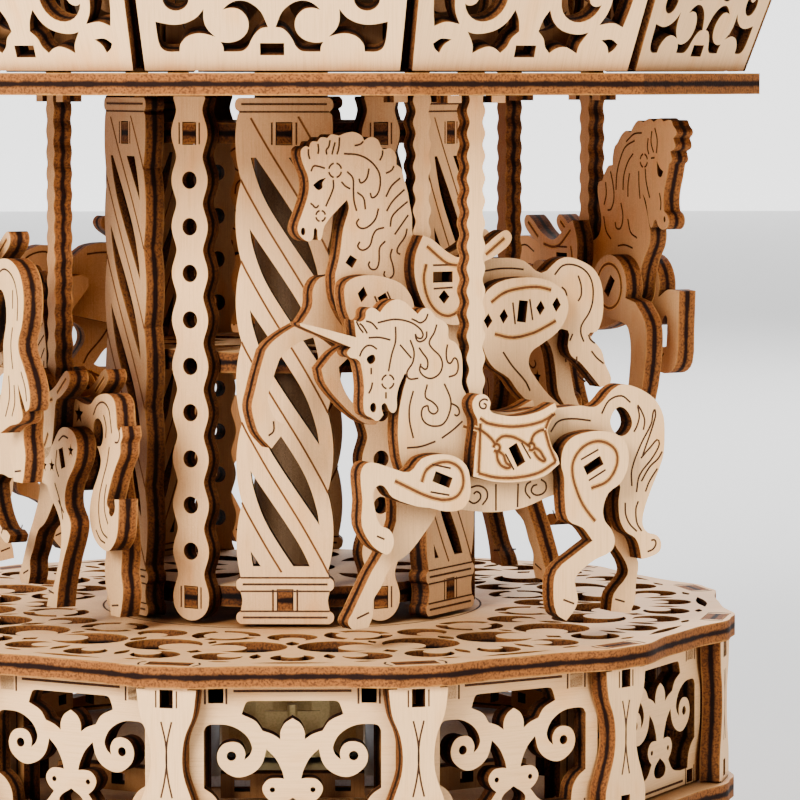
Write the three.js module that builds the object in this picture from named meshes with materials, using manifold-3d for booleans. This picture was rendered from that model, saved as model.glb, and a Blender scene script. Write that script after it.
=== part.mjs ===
// Carousel music box, cut from birch plywood: a twelve-sided drum holds a wind-up movement, whose barrel turns
// a shaft. The shaft carries the roof, and the canopy, columns and discs hang below it. Four pairs of riding
// figures slide up and down through the canopy on flat poles. Millimetres, +Z up, z = 0 under the feet.
import * as THREE from "three";
import { mergeVertices } from "three/addons/utils/BufferGeometryUtils.js";
import Module from "manifold-3d";

// --- driving dimensions ---------------------------------------------------------------------------------
const PLY = 3; // thickness of every plywood sheet
const GAP = 0.3; // play between pieces that meet
const SIDES = 12;

const FOOT_HEIGHT = 9;
const FOOT_RADIUS = 6;
const DECK_RADIUS = 67.6; // over the corners of the deck and the base plate
const FOOT_INSET = 13.6; // from the deck's corners in to the feet
const CORNER_ROUND = 7; // length of deck edge cut off at each corner
const DRUM_HEIGHT = 21.1; // from the base plate to the deck
const PANEL_INSET = 6.6; // from the deck's corners in to the drum panels' outer faces
const PANEL_SPACE = 3.08; // between the inner edges of neighbouring panels
const PILASTER_WIDTH = 8.4;
const PILASTER_WAIST = 4.2;
const PILASTER_TENON = 6;

const CAGE_HEIGHT = 76.6; // from the deck to the canopy
const COLUMN_FACE = 27.5; // distance of the columns' outer faces from the axis
const WIDE_COLUMN = 13.8;
const WIDE_CAPITAL = 14.6;
const CAPITAL_HEIGHT = 7.3;
const NARROW_COLUMN = 6.2;
const COLUMN_LIFT = 0.6; // clearance of the hanging columns over the deck
const DISC_RISE = 2.5; // the lower disc over the deck
const DISC_DROP = 4.1; // the upper disc below the canopy
const DISC_TENON = 2.1;

const INNER_RIDE = 10.5; // from the columns' faces out to the inner figures
const RIDE_SPACING = 15; // from the inner figures out to the outer ones
const CANOPY_OVERHANG = 16.4; // from the outer figures out to the canopy's corners
const FASCIA_HEIGHT = 18;
const FASCIA_LEAN = 20; // degrees outwards
const ROOF_INSET = 5.9; // from the canopy's corners in to the roof's wall
const ROOF_DRUM = 20; // height of the roof's upright wall
const ROOF_HEIGHT = 66;
const ROOF_WALL = 2.6;
const CROWN_RADIUS = 14;
const FINIAL_HEIGHT = 16;
const FINIAL_RADIUS = 5;

const CAGE_TURN = -2.13; // degrees that the carousel stands turned at rest
const PAIR_AZIMUTH = 30; // the first pair of figures
const STROKE = 20; // travel of a figure on its pole
const POLE_WIDTH = 2.9;
const POLE_HEAD = 2.4; // a pole's end over the canopy when its figure is low
const POLE_PLAY = 0.35;

const SHAFT_RADIUS = 1.5;
const POST_RADIUS = 5.5;
const POST_BORE = 2.3;
const POST_PLAY = 1;
const POST_FLANGE = 10;
const CAM_INSET = 5; // from the inner figures in to the cam's outer face
const CAM_WALL = 3;
const CAM_RISE = 5; // half the height of the cam's wave
const BARREL_RADIUS = 11;
const BARREL_HEIGHT = 9.7;
const BED_THICKNESS = 1.5;
const BED_WIDTH = 32;
const COMB_BLOCK = 5.5; // depth of the block that the comb is screwed to
const ARBOR_RADIUS = 2;
const ARBOR_BORE = 2.6;
const KEY_RADIUS = 16;
const KEY_HEIGHT = 6;
const KEY_LOBES = 8;
const CYLINDER_RADIUS = 4.5;
const CYLINDER_LENGTH = 18;
const BARREL_SPACE = 1.5; // between the barrel and the cylinder
const CYLINDER_RISE = 5.8; // the cylinder's axis over the bed
const PIVOT_RADIUS = 1;
const CHEEK_WIDTH = 2;
const COMB_TEETH = 9;
const COMB_THICKNESS = 1;
const FLY_SPACE = 6.5; // between the barrel and the fly's staff
const FLY_SPAN = 8;

// --- sizes that follow ----------------------------------------------------------------------------------
const BASE_TOP = FOOT_HEIGHT + PLY;
const DECK_BOTTOM = BASE_TOP + DRUM_HEIGHT;
const DECK_TOP = DECK_BOTTOM + PLY;
const CANOPY_BOTTOM = DECK_TOP + CAGE_HEIGHT;
const CANOPY_TOP = CANOPY_BOTTOM + PLY;
const BED_TOP = BASE_TOP + GAP + BED_THICKNESS;
const BARREL_BOTTOM = BED_TOP + 2 * GAP;
const CYLINDER_Z = BED_TOP + CYLINDER_RISE;
const CYLINDER_Y = BARREL_RADIUS + BARREL_SPACE + CYLINDER_RADIUS;
const BLOCK_FRONT = CYLINDER_Y + CYLINDER_RADIUS + 1;
const BLOCK_BACK = BLOCK_FRONT + COMB_BLOCK - 1;
const FLY_Y = -(BARREL_RADIUS + FLY_SPACE);
const FOOT_CIRCLE = DECK_RADIUS - FOOT_INSET;
const PANEL_FACE = DECK_RADIUS - PANEL_INSET;
const PANEL_WIDTH = 2 * (PANEL_FACE - PLY) * Math.tan(Math.PI / SIDES) - PANEL_SPACE;
const INNER_RING = COLUMN_FACE + INNER_RIDE;
const OUTER_RING = INNER_RING + RIDE_SPACING;
const CAM_RADIUS = INNER_RING - CAM_INSET;
const CANOPY_RADIUS = OUTER_RING + CANOPY_OVERHANG;
const ROOF_RADIUS = CANOPY_RADIUS - ROOF_INSET;
const COLUMN_BACK = COLUMN_FACE - PLY;
const DISC_RADIUS = COLUMN_BACK - GAP;

// --- finishes -------------------------------------------------------------------------------------------
const birch = new THREE.MeshStandardMaterial({ color: 0xe8c99a, roughness: 0.7, metalness: 0 });
const steel = new THREE.MeshStandardMaterial({ color: 0xb9bcc0, roughness: 0.35, metalness: 1 });
const brass = new THREE.MeshStandardMaterial({ color: 0xc9a14a, roughness: 0.35, metalness: 1 });

// --- solids ---------------------------------------------------------------------------------------------
const wasm = await Module();
wasm.setup();

/** A closed geometry as a manifold-3d solid. */
function solid(geometry) {
  const bare = geometry.clone();
  bare.deleteAttribute("normal");
  bare.deleteAttribute("uv");
  const merged = mergeVertices(bare, 1e-4);
  return new wasm.Manifold(
    new wasm.Mesh({
      numProp: 3,
      vertProperties: merged.attributes.position.array,
      triVerts: new Uint32Array(merged.index.array),
    }),
  );
}

/** A manifold-3d solid as a geometry. */
function geometryOf(body) {
  const mesh = body.getMesh();
  return new THREE.BufferGeometry()
    .setAttribute("position", new THREE.BufferAttribute(mesh.vertProperties, 3))
    .setIndex(new THREE.BufferAttribute(mesh.triVerts, 1));
}

/** Several closed geometries joined into one. */
function joined(geometries) {
  return geometryOf(geometries.map(solid).reduce((whole, next) => whole.add(next)));
}

/** The first geometry with the others cut out of it. */
function cut(geometry, tools) {
  return geometryOf(tools.map(solid).reduce((whole, next) => whole.subtract(next), solid(geometry)));
}

const part = new THREE.Group();

/** Adds one named piece to a group, turned about Z by a number of degrees. */
function add(group, name, geometry, material, azimuth = 0) {
  const mesh = new THREE.Mesh(geometry, material);
  mesh.name = name;
  mesh.rotation.z = THREE.MathUtils.degToRad(azimuth);
  group.add(mesh);
}

/** A sheet lying flat with its lower face at z. */
function lyingSheet(shape, z, thickness = PLY) {
  return new THREE.ExtrudeGeometry(shape, { depth: thickness, bevelEnabled: false, curveSegments: 6 }).translate(0, 0, z);
}

/** A sheet standing at the front, its inner face at a distance from the axis; the shape's y is height. */
function standingSheet(shape, inner, thickness = PLY) {
  return new THREE.ExtrudeGeometry(shape, { depth: thickness, bevelEnabled: false, curveSegments: 6 })
    .rotateX(Math.PI / 2)
    .translate(0, -inner, 0);
}

/** A turned body about the Z axis from [radius, height] pairs. */
function turned(profile, segments = 24, start = 0) {
  const points = profile.map(([r, z]) => new THREE.Vector2(r, z));
  return new THREE.LatheGeometry(points, segments, start).rotateX(Math.PI / 2);
}

/** An upright box between two corners. */
function block([x0, y0, z0], [x1, y1, z1]) {
  return new THREE.BoxGeometry(x1 - x0, y1 - y0, z1 - z0).translate((x0 + x1) / 2, (y0 + y1) / 2, (z0 + z1) / 2);
}

/** A point on the plan at a radius and an azimuth; azimuth 0 is the front, -Y. */
function onPlan(radius, azimuth) {
  const a = THREE.MathUtils.degToRad(azimuth);
  return new THREE.Vector2(radius * Math.sin(a), -radius * Math.cos(a));
}

/** A closed shape through [x, y] pairs. */
function outline(points) {
  return new THREE.Shape(points.map(([x, y]) => new THREE.Vector2(x, y)));
}

/** A rectangle given by its centre and size, as a hole or an outline. */
function rectangle(x, y, width, height) {
  const [w, h] = [width / 2, height / 2];
  return [
    [x - w, y - h],
    [x + w, y - h],
    [x + w, y + h],
    [x - w, y + h],
  ];
}

/** A round hole in the middle of a plan. */
function roundHole(radius) {
  return new THREE.Path().absarc(0, 0, radius, 0, 2 * Math.PI, true);
}

/** Points of one side's rectangle turned to its azimuth, for slots that run round a plan. */
function slotAt(radius, azimuth, width, depth) {
  const turn = THREE.MathUtils.degToRad(azimuth);
  return rectangle(0, -radius, width, depth).map(([x, y]) =>
    new THREE.Vector2(x, y).rotateAround(new THREE.Vector2(), turn),
  );
}

/** The plan of the deck and the base plate: twelve sides with cut corners. */
function drumPlan() {
  const corners = [];
  const spread = THREE.MathUtils.radToDeg(CORNER_ROUND / 2 / DECK_RADIUS);
  for (let i = 0; i < SIDES; i++) {
    const azimuth = (360 / SIDES) * (i + 0.5);
    corners.push(onPlan(DECK_RADIUS, azimuth - spread), onPlan(DECK_RADIUS, azimuth + spread));
  }
  return new THREE.Shape(corners);
}

const PILASTER_INNER =
  PANEL_FACE * Math.cos(Math.PI / SIDES) + (PANEL_WIDTH / 2) * Math.sin(Math.PI / SIDES) + GAP;
const TENON_RADIUS = PILASTER_INNER + PLY / 2;

/** Slots for the pilasters' tenons. */
function pilasterSlots() {
  const slots = [];
  for (let i = 0; i < SIDES; i++) {
    const azimuth = (360 / SIDES) * (i + 0.5);
    slots.push(new THREE.Path(slotAt(TENON_RADIUS, azimuth, PILASTER_TENON + GAP, PLY + GAP)));
  }
  return slots;
}

// --- the drum -------------------------------------------------------------------------------------------
function basePlate() {
  const plan = drumPlan();
  plan.holes = [...pilasterSlots(), roundHole(ARBOR_BORE)];
  const feet = [45, 135, 225, 315].map((azimuth) => {
    const at = onPlan(FOOT_CIRCLE, azimuth);
    return turned([[0, 0], [FOOT_RADIUS, 0], [FOOT_RADIUS, FOOT_HEIGHT + PLY / 2], [0, FOOT_HEIGHT + PLY / 2]], 16)
      .translate(at.x, at.y, 0);
  });
  return joined([lyingSheet(plan, FOOT_HEIGHT), ...feet]);
}

function deck() {
  const plan = drumPlan();
  plan.holes = [...pilasterSlots(), roundHole(POST_RADIUS + GAP)];
  return lyingSheet(plan, DECK_BOTTOM);
}

function drumPanel() {
  const middle = (BASE_TOP + DECK_BOTTOM) / 2;
  return standingSheet(outline(rectangle(0, middle, PANEL_WIDTH, DRUM_HEIGHT - 2 * GAP)), PANEL_FACE - PLY);
}

/** A vase-sided upright with a tenon at each end that stops flush in the plates. */
function pilaster() {
  const [low, high] = [BASE_TOP + GAP, DECK_BOTTOM - GAP];
  const side = [];
  const steps = 8;
  for (let i = 0; i <= steps; i++) {
    const t = i / steps;
    const width = PILASTER_WAIST + (PILASTER_WIDTH - PILASTER_WAIST) * Math.cos(Math.PI * t) ** 2;
    side.push([width / 2, low + (high - low) * t]);
  }
  const tenon = PILASTER_TENON / 2;
  const right = [[tenon, BASE_TOP - PLY + GAP], [tenon, low], ...side, [tenon, high], [tenon, DECK_TOP]];
  const left = right.map(([x, z]) => [-x, z]).reverse();
  return standingSheet(outline([...right, ...left]), PILASTER_INNER);
}

add(part, "base_plate", basePlate(), birch);
add(part, "deck", deck(), birch);
for (let i = 0; i < SIDES; i++) {
  add(part, `drum_panel_${i + 1}`, drumPanel(), birch, (360 / SIDES) * i);
  add(part, `pilaster_${i + 1}`, pilaster(), birch, (360 / SIDES) * (i + 0.5));
}

// --- the movement ---------------------------------------------------------------------------------------
/** The steel bed: a plate with a comb block and two cheeks that hold the cylinder's pivots. */
function movementBed() {
  const [front, back] = [FLY_Y - 5.5, BLOCK_BACK + 1];
  const plan = outline(rectangle(0, (front + back) / 2, BED_WIDTH, back - front));
  plan.holes = [roundHole(ARBOR_BORE)];
  const plate = lyingSheet(plan, BASE_TOP + GAP, BED_THICKNESS);
  const half = CYLINDER_LENGTH / 2;
  const combBlock = block(
    [-half, BLOCK_FRONT, BED_TOP - BED_THICKNESS / 2],
    [half, BLOCK_BACK, CYLINDER_Z + CYLINDER_RADIUS + GAP / 3],
  );
  const cheeks = [-1, 1].map((side) => {
    const shape = outline(rectangle(0, 0, 2 * CYLINDER_RADIUS - 2, 2 * CYLINDER_RISE));
    shape.holes = [roundHole(PIVOT_RADIUS + GAP)];
    return new THREE.ExtrudeGeometry(shape, { depth: CHEEK_WIDTH, bevelEnabled: false, curveSegments: 6 })
      .rotateY(Math.PI / 2)
      .rotateX(Math.PI / 2)
      .translate(side * (half + GAP + CHEEK_WIDTH / 2) - CHEEK_WIDTH / 2, CYLINDER_Y, CYLINDER_Z);
  });
  return joined([plate, combBlock, ...cheeks]);
}

/** The comb: a steel plate whose teeth reach over the cylinder. */
function comb() {
  const half = CYLINDER_LENGTH / 2;
  const root = BLOCK_FRONT;
  const pitch = CYLINDER_LENGTH / COMB_TEETH;
  const points = [[half, BLOCK_BACK], [-half, BLOCK_BACK]];
  for (let i = 0; i < COMB_TEETH; i++) {
    const x = -half + pitch * i;
    points.push([x, CYLINDER_Y], [x + 0.7 * pitch, CYLINDER_Y]);
    if (i < COMB_TEETH - 1) points.push([x + 0.7 * pitch, root], [x + pitch, root]);
  }
  points.push([half - 0.3 * pitch, root], [half, root]);
  return lyingSheet(outline(points), CYLINDER_Z + CYLINDER_RADIUS + GAP, COMB_THICKNESS);
}

/** The pinned cylinder, along X, with a pivot at each end. */
function pinnedCylinder() {
  const half = CYLINDER_LENGTH / 2;
  const end = half + GAP + CHEEK_WIDTH;
  return turned([
    [0, -end],
    [PIVOT_RADIUS, -end],
    [PIVOT_RADIUS, -half],
    [CYLINDER_RADIUS, -half],
    [CYLINDER_RADIUS, half],
    [PIVOT_RADIUS, half],
    [PIVOT_RADIUS, end],
    [0, end],
  ])
    .rotateY(Math.PI / 2)
    .translate(0, CYLINDER_Y, CYLINDER_Z);
}

/** The governor's fly: two vanes on an upright staff. */
function governorFly() {
  const [low, high] = [BED_TOP + GAP, BED_TOP + BARREL_HEIGHT];
  const staff = turned([[0, low], [0.8, low], [0.8, high], [0, high]], 12).translate(0, FLY_Y, 0);
  const vane = block([-FLY_SPAN / 2, FLY_Y - 0.4, low + 3], [FLY_SPAN / 2, FLY_Y + 0.4, high - 1]);
  return joined([staff, vane]);
}

/** The winding key: a lobed grip under the base plate on the arbor that runs up to the barrel. */
function windingKey() {
  const grip = new THREE.Shape();
  const steps = 4 * KEY_LOBES;
  for (let i = 0; i < steps; i++) {
    const a = (2 * Math.PI * i) / steps;
    const r = KEY_RADIUS + Math.cos(KEY_LOBES * a);
    if (i) grip.lineTo(r * Math.cos(a), r * Math.sin(a));
    else grip.moveTo(r, 0);
  }
  const low = (FOOT_HEIGHT - KEY_HEIGHT) / 2;
  const arbor = turned([[0, low + 1], [ARBOR_RADIUS, low + 1], [ARBOR_RADIUS, BED_TOP + GAP], [0, BED_TOP + GAP]], 16);
  return joined([lyingSheet(grip, low, KEY_HEIGHT), arbor]);
}

const top = BARREL_BOTTOM + BARREL_HEIGHT;
add(part, "movement_bed", movementBed(), steel);
add(part, "comb", comb(), steel);
add(part, "pinned_cylinder", pinnedCylinder(), brass);
add(part, "governor_fly", governorFly(), brass);
add(part, "winding_key", windingKey(), birch);

// --- the fixed post -------------------------------------------------------------------------------------
/** A tube held in the deck, with the two-lobed lifting cam at its top, inside the roof. */
function centrePost() {
  const flangeLow = DECK_BOTTOM - GAP - PLY;
  const camLow = CANOPY_TOP + PLY;
  const camTop = camLow + PLY + 2 * CAM_RISE + 1;
  const body = turned(
    [
      [POST_BORE, flangeLow],
      [POST_FLANGE, flangeLow],
      [POST_FLANGE, DECK_BOTTOM - GAP],
      [POST_RADIUS, DECK_BOTTOM - GAP],
      [POST_RADIUS, camLow],
      [CAM_RADIUS, camLow],
      [CAM_RADIUS, camTop],
      [CAM_RADIUS - CAM_WALL, camTop],
      [CAM_RADIUS - CAM_WALL, camLow + PLY],
      [POST_BORE, camLow + PLY],
      [POST_BORE, flangeLow],
    ],
    32,
  );
  const place = body.attributes.position;
  const phase = THREE.MathUtils.degToRad(2 * (PAIR_AZIMUTH + CAGE_TURN));
  for (let i = 0; i < place.count; i++) {
    if (place.getZ(i) < camTop - GAP) continue;
    const azimuth = Math.atan2(place.getX(i), -place.getY(i));
    place.setZ(i, camTop - CAM_RISE + CAM_RISE * Math.cos(2 * azimuth - phase));
  }
  return body;
}

add(part, "centre_post", centrePost(), birch);

// --- the carousel ---------------------------------------------------------------------------------------
const carousel = new THREE.Group();
carousel.rotation.z = THREE.MathUtils.degToRad(CAGE_TURN);
part.add(carousel);

/** A column's upright slots for the tenons of the two discs. */
function discSlots() {
  return [DECK_TOP + DISC_RISE + PLY / 2, CANOPY_BOTTOM - DISC_DROP - PLY / 2].map(
    (z) => new THREE.Path(rectangle(0, z, DISC_TENON + GAP, PLY + GAP).map(([x, y]) => new THREE.Vector2(x, y))),
  );
}

/** A flat column with a square capital and base. */
function wideColumn() {
  const [low, high] = [DECK_TOP + COLUMN_LIFT, CANOPY_BOTTOM - GAP];
  const right = [
    [WIDE_CAPITAL / 2, low],
    [WIDE_CAPITAL / 2, low + CAPITAL_HEIGHT],
    [WIDE_COLUMN / 2, low + CAPITAL_HEIGHT],
    [WIDE_COLUMN / 2, high - CAPITAL_HEIGHT],
    [WIDE_CAPITAL / 2, high - CAPITAL_HEIGHT],
    [WIDE_CAPITAL / 2, high],
  ];
  const shape = outline([...right, ...right.map(([x, z]) => [-x, z]).reverse()]);
  shape.holes = discSlots();
  return standingSheet(shape, COLUMN_BACK);
}

/** A slim column with a round lower end. */
function narrowColumn() {
  const [low, high] = [DECK_TOP + COLUMN_LIFT, CANOPY_BOTTOM - GAP];
  const r = NARROW_COLUMN / 2;
  const shape = new THREE.Shape().moveTo(r, high).lineTo(-r, high).lineTo(-r, low + r);
  shape.absarc(0, low + r, r, Math.PI, 2 * Math.PI, false);
  shape.holes = discSlots();
  return standingSheet(shape, COLUMN_BACK);
}

/** A disc inside the ring of columns, with a tenon through each of them. */
function tieDisc(z) {
  const plan = new THREE.Shape();
  const half = THREE.MathUtils.radToDeg(DISC_TENON / 2 / DISC_RADIUS);
  for (let i = 0; i < SIDES; i++) {
    const azimuth = (360 / SIDES) * i;
    const [a, b] = slotAt(COLUMN_FACE, azimuth, DISC_TENON, 0);
    const corners = [onPlan(DISC_RADIUS, azimuth - half), a, b, onPlan(DISC_RADIUS, azimuth + half)];
    corners.push(onPlan(DISC_RADIUS, azimuth + 180 / SIDES));
    for (const p of corners) {
      if (plan.curves.length || plan.currentPoint.length()) plan.lineTo(p.x, p.y);
      else plan.moveTo(p.x, p.y);
    }
  }
  plan.holes = [roundHole(POST_RADIUS + POST_PLAY)];
  return lyingSheet(plan, z);
}

/** The canopy: twelve sides, a hole for the post and a slot for each pole. */
function canopyPlate() {
  const corners = [];
  for (let i = 0; i < SIDES; i++) corners.push(onPlan(CANOPY_RADIUS, (360 / SIDES) * (i + 0.5)));
  const plan = new THREE.Shape(corners);
  plan.holes = [roundHole(POST_RADIUS + POST_PLAY)];
  for (const azimuth of [0, 90, 180, 270]) {
    for (const ring of [OUTER_RING, INNER_RING]) {
      plan.holes.push(
        new THREE.Path(slotAt(ring, PAIR_AZIMUTH + azimuth, POLE_WIDTH + 2 * POLE_PLAY, PLY + 2 * POLE_PLAY)),
      );
    }
  }
  return lyingSheet(plan, CANOPY_BOTTOM);
}

const HALF_SIDE = Math.PI / SIDES;

/** The fascia: twelve panels that lean outwards, joined edge to edge. */
function fascia() {
  const spread = Math.tan(THREE.MathUtils.degToRad(FASCIA_LEAN)) * FASCIA_HEIGHT;
  const wall = PLY / Math.cos(THREE.MathUtils.degToRad(FASCIA_LEAN)) / Math.cos(HALF_SIDE);
  const low = CANOPY_TOP + GAP;
  const outer = CANOPY_RADIUS - 0.5;
  return turned(
    [
      [outer - wall, low],
      [outer, low],
      [outer + spread, low + FASCIA_HEIGHT],
      [outer + spread - wall, low + FASCIA_HEIGHT],
      [outer - wall, low],
    ],
    SIDES,
    HALF_SIDE,
  );
}

/** The roof: an upright wall, a curved twelve-sided rise and the crown's flat top, open underneath. */
function roof() {
  const low = CANOPY_TOP + GAP;
  const rise = ROOF_HEIGHT - ROOF_DRUM;
  const run = ROOF_RADIUS - CROWN_RADIUS;
  const outer = [[0, 0], [0.07, 0.15], [0.23, 0.29], [0.44, 0.4], [0.68, 0.54], [0.88, 0.74], [1, 1]].map(
    ([across, up]) => [ROOF_RADIUS - run * across, low + ROOF_DRUM + rise * up],
  );
  const inner = outer.map(([r, z]) => [r - ROOF_WALL, z - ROOF_WALL / 2]).reverse();
  return turned(
    [
      [ROOF_RADIUS - ROOF_WALL, low],
      [ROOF_RADIUS, low],
      ...outer,
      [CROWN_RADIUS, low + ROOF_HEIGHT + PLY],
      [0, low + ROOF_HEIGHT + PLY],
      [0, low + ROOF_HEIGHT - ROOF_WALL / 2],
      ...inner,
      [ROOF_RADIUS - ROOF_WALL, low],
    ],
    SIDES,
    HALF_SIDE,
  );
}

/** The finial: a turned knob and spike on the crown. */
function finial() {
  const low = CANOPY_TOP + 2 * GAP + ROOF_HEIGHT + PLY;
  const profile = [[0, 0], [1, 0], [1, 0.12], [0.35, 0.18], [0.35, 0.28], [0.8, 0.42], [0.8, 0.56], [0.3, 0.72], [0, 1]];
  return turned(profile.map(([r, z]) => [r * FINIAL_RADIUS, low + z * FINIAL_HEIGHT]), 16);
}

add(part, "spring_barrel", turned(
  [[0, BARREL_BOTTOM], [BARREL_RADIUS, BARREL_BOTTOM], [BARREL_RADIUS, top], [0, top]]), brass);
add(part, "drive_shaft", turned([
  [0, top + GAP],
  [SHAFT_RADIUS, top + GAP],
  [SHAFT_RADIUS, CANOPY_TOP + ROOF_HEIGHT - ROOF_WALL],
  [0, CANOPY_TOP + ROOF_HEIGHT - ROOF_WALL],
], 16), steel);
add(carousel, "lower_disc", tieDisc(DECK_TOP + DISC_RISE), birch);
add(carousel, "upper_disc", tieDisc(CANOPY_BOTTOM - DISC_DROP - PLY), birch);
for (let i = 0; i < SIDES / 2; i++) {
  add(carousel, `wide_column_${i + 1}`, wideColumn(), birch, 60 * i);
  add(carousel, `narrow_column_${i + 1}`, narrowColumn(), birch, 60 * i + 30);
}
add(carousel, "canopy_plate", canopyPlate(), birch);
add(carousel, "fascia", fascia(), birch);
add(carousel, "roof", roof(), birch);
add(carousel, "finial", finial(), birch);

// --- the figures ----------------------------------------------------------------------------------------
// Outlines run in [forward, height] with the pole at forward = 0 and the deck at height 0, figure low.
const TRUNK = {
  unicorn: [
    [8, 20], [12, 25], [12.4, 31], [11, 38.6], [12.8, 33.4], [14.3, 34.6], [15.7, 32.4], [17.5, 33.4],
    [17.7, 37], [18.6, 40.8], [20.2, 41.6], [19.6, 42.6], [27.5, 45.6], [18.8, 44.4], [17.4, 47.1], [12.8, 48.8],
    [8, 47.2], [4.5, 45], [2.2, 39.5], [1.6, 34], [-6, 32], [-12, 33], [-19.3, 32.8], [-22, 35], [-25.5, 35.6],
    [-29.7, 33.2], [-31, 28], [-30, 23], [-27.6, 17.4], [-30.6, 13], [-29.6, 11.2], [-27.2, 11],
    [-24.6, 14.8], [-23.6, 22], [-20, 21.5], [-12.2, 20.6], [-5, 18.9], [1.5, 19],
  ],
  charger: [
    [8, 21], [13.5, 28], [14, 32], [13, 36], [12, 42], [14.2, 40], [16.4, 36.6], [18.3, 36.3], [19.9, 38],
    [18.2, 43], [18.2, 45], [19.3, 49], [17, 50.2], [11, 51.4], [6.6, 50], [3.5, 46.4], [1.8, 39.6], [1, 35],
    [-5, 32.5], [-10.4, 33.2], [-14.3, 33.3], [-19.7, 31], [-22.3, 32.7], [-26.4, 32.6], [-29.7, 29.5],
    [-30, 24.2], [-27.7, 22], [-30.6, 17.5], [-31.6, 14.6], [-29.8, 14.2], [-24.8, 18.9], [-24.2, 23],
    [-21, 22.5], [-12, 20.4], [-5, 19.4], [1.5, 19.6],
  ],
};
const NEAR_LEGS = [
  [
    [12.5, 25.5], [10, 27.3], [6, 27.4], [3.2, 25.5], [2.7, 21.5], [4.5, 19.7], [10.5, 20.3], [15.4, 22.3],
    [16.6, 23.6], [17.7, 22.8], [16.8, 18], [14.9, 15.9], [16.8, 14.8], [19.8, 18.2], [19.8, 25.4], [18.4, 27],
  ],
  [
    [-12.3, 25.2], [-13.8, 29], [-18.2, 29.7], [-22.6, 27.6], [-23, 24.5], [-19.4, 20.8], [-18.9, 18],
    [-20.9, 14.2], [-14.4, 9.2], [-14.8, 6], [-12.9, 3.3], [-11, 5.4], [-11, 10.2], [-17.2, 14.3], [-13.2, 17.4],
  ],
  [[1.8, 32], [2.2, 24.2], [-4, 23], [-9.4, 23.7], [-11.7, 25.6], [-10, 28.5], [-11.2, 33.4], [-5, 32.3], [1.7, 35.4]],
];
const FAR_LEGS = [
  [[4, 20.5], [9.2, 13.3], [13, 10], [14.7, 5.5], [15.4, 3.4], [18.4, 3.6], [16.6, 8.1], [13.4, 13.3], [11.5, 24], [5, 25]],
  [
    [-18, 28], [-20, 24], [-23.1, 20.2], [-24.5, 13.1], [-26.6, 10], [-26.6, 8], [-24.5, 5.5], [-24.2, 3.1],
    [-27.3, 2.8], [-28.2, 5], [-28.6, 9.9], [-27.4, 13], [-25.5, 21], [-22.5, 28],
  ],
  NEAR_LEGS[2],
];

/** One figure with its pole: a trunk sheet between two layers of legs and saddle cloth. */
function figure(kind, ring, lift) {
  const layer = (points, inner) =>
    standingSheet(outline(points.map(([f, z]) => [-f, z + DECK_TOP + lift])), inner);
  const middle = ring - PLY / 2;
  const overlap = 0.01; // the layers sink into each other so that they join
  const poleTop = CANOPY_TOP + POLE_HEAD + lift;
  const pole = block(
    [-POLE_WIDTH / 2, -ring - PLY / 2 + overlap, DECK_TOP + lift + 26],
    [POLE_WIDTH / 2, -ring + PLY / 2 - overlap, poleTop],
  );
  return joined([
    layer(TRUNK[kind], middle),
    ...NEAR_LEGS.map((points) => layer(points, middle + PLY - overlap)),
    ...FAR_LEGS.map((points) => layer(points, middle - PLY + overlap)),
    pole,
  ]);
}

for (let i = 0; i < 4; i++) {
  const azimuth = PAIR_AZIMUTH + 90 * i;
  const outerHigh = i % 2 === 1;
  add(carousel, `outer_figure_${i + 1}`,
    figure(outerHigh ? "charger" : "unicorn", OUTER_RING, outerHigh ? STROKE : 0), birch, azimuth);
  add(carousel, `inner_figure_${i + 1}`, figure("charger", INNER_RING, outerHigh ? 0 : STROKE), birch, azimuth);
}

export default part;
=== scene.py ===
"""Looks of the carousel music box: fretted birch sheets, horses, materials, lights and camera.

It is filled, given its thickness, and set in its place around the CAD frame. Azimuth 0 is the front, -Y,
and grows towards +X.
"""

import logging
import math
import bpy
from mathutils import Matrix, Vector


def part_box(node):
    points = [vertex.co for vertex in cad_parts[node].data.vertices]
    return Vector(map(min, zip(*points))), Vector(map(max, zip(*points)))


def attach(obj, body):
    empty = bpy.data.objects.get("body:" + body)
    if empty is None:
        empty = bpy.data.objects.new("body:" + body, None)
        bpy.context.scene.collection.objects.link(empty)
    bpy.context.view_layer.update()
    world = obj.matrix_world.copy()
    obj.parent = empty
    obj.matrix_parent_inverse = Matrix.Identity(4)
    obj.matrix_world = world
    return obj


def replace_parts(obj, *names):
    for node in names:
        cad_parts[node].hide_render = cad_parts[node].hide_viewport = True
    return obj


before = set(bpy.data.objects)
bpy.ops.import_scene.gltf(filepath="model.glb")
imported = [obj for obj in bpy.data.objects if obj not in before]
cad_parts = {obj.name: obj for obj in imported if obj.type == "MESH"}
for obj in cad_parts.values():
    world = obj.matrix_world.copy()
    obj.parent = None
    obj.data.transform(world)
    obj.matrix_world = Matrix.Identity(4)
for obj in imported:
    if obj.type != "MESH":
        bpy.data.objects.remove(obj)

import zlib
from dataclasses import dataclass, field
from enum import Enum
from typing import Callable, Iterable

import bmesh
import bpy
from mathutils import Matrix, Vector

LOG = logging.getLogger("carousel")

Point = tuple[float, ...]
Loop = list[Point]

MM = 0.001
SIDES = 12
STEP = 360 / SIDES
CUSP = True  # third item of a point where the outline has a sharp corner

# --- sizes shared with the CAD frame, in millimetres ---


def span(node: str) -> tuple[Vector, Vector]:
    """Lowest and highest corner of a CAD node.

    Args:
        node: the node's name.

    Returns:
        The two corners in millimetres.
    """
    low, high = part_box(node)
    return low / MM, high / MM


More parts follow.
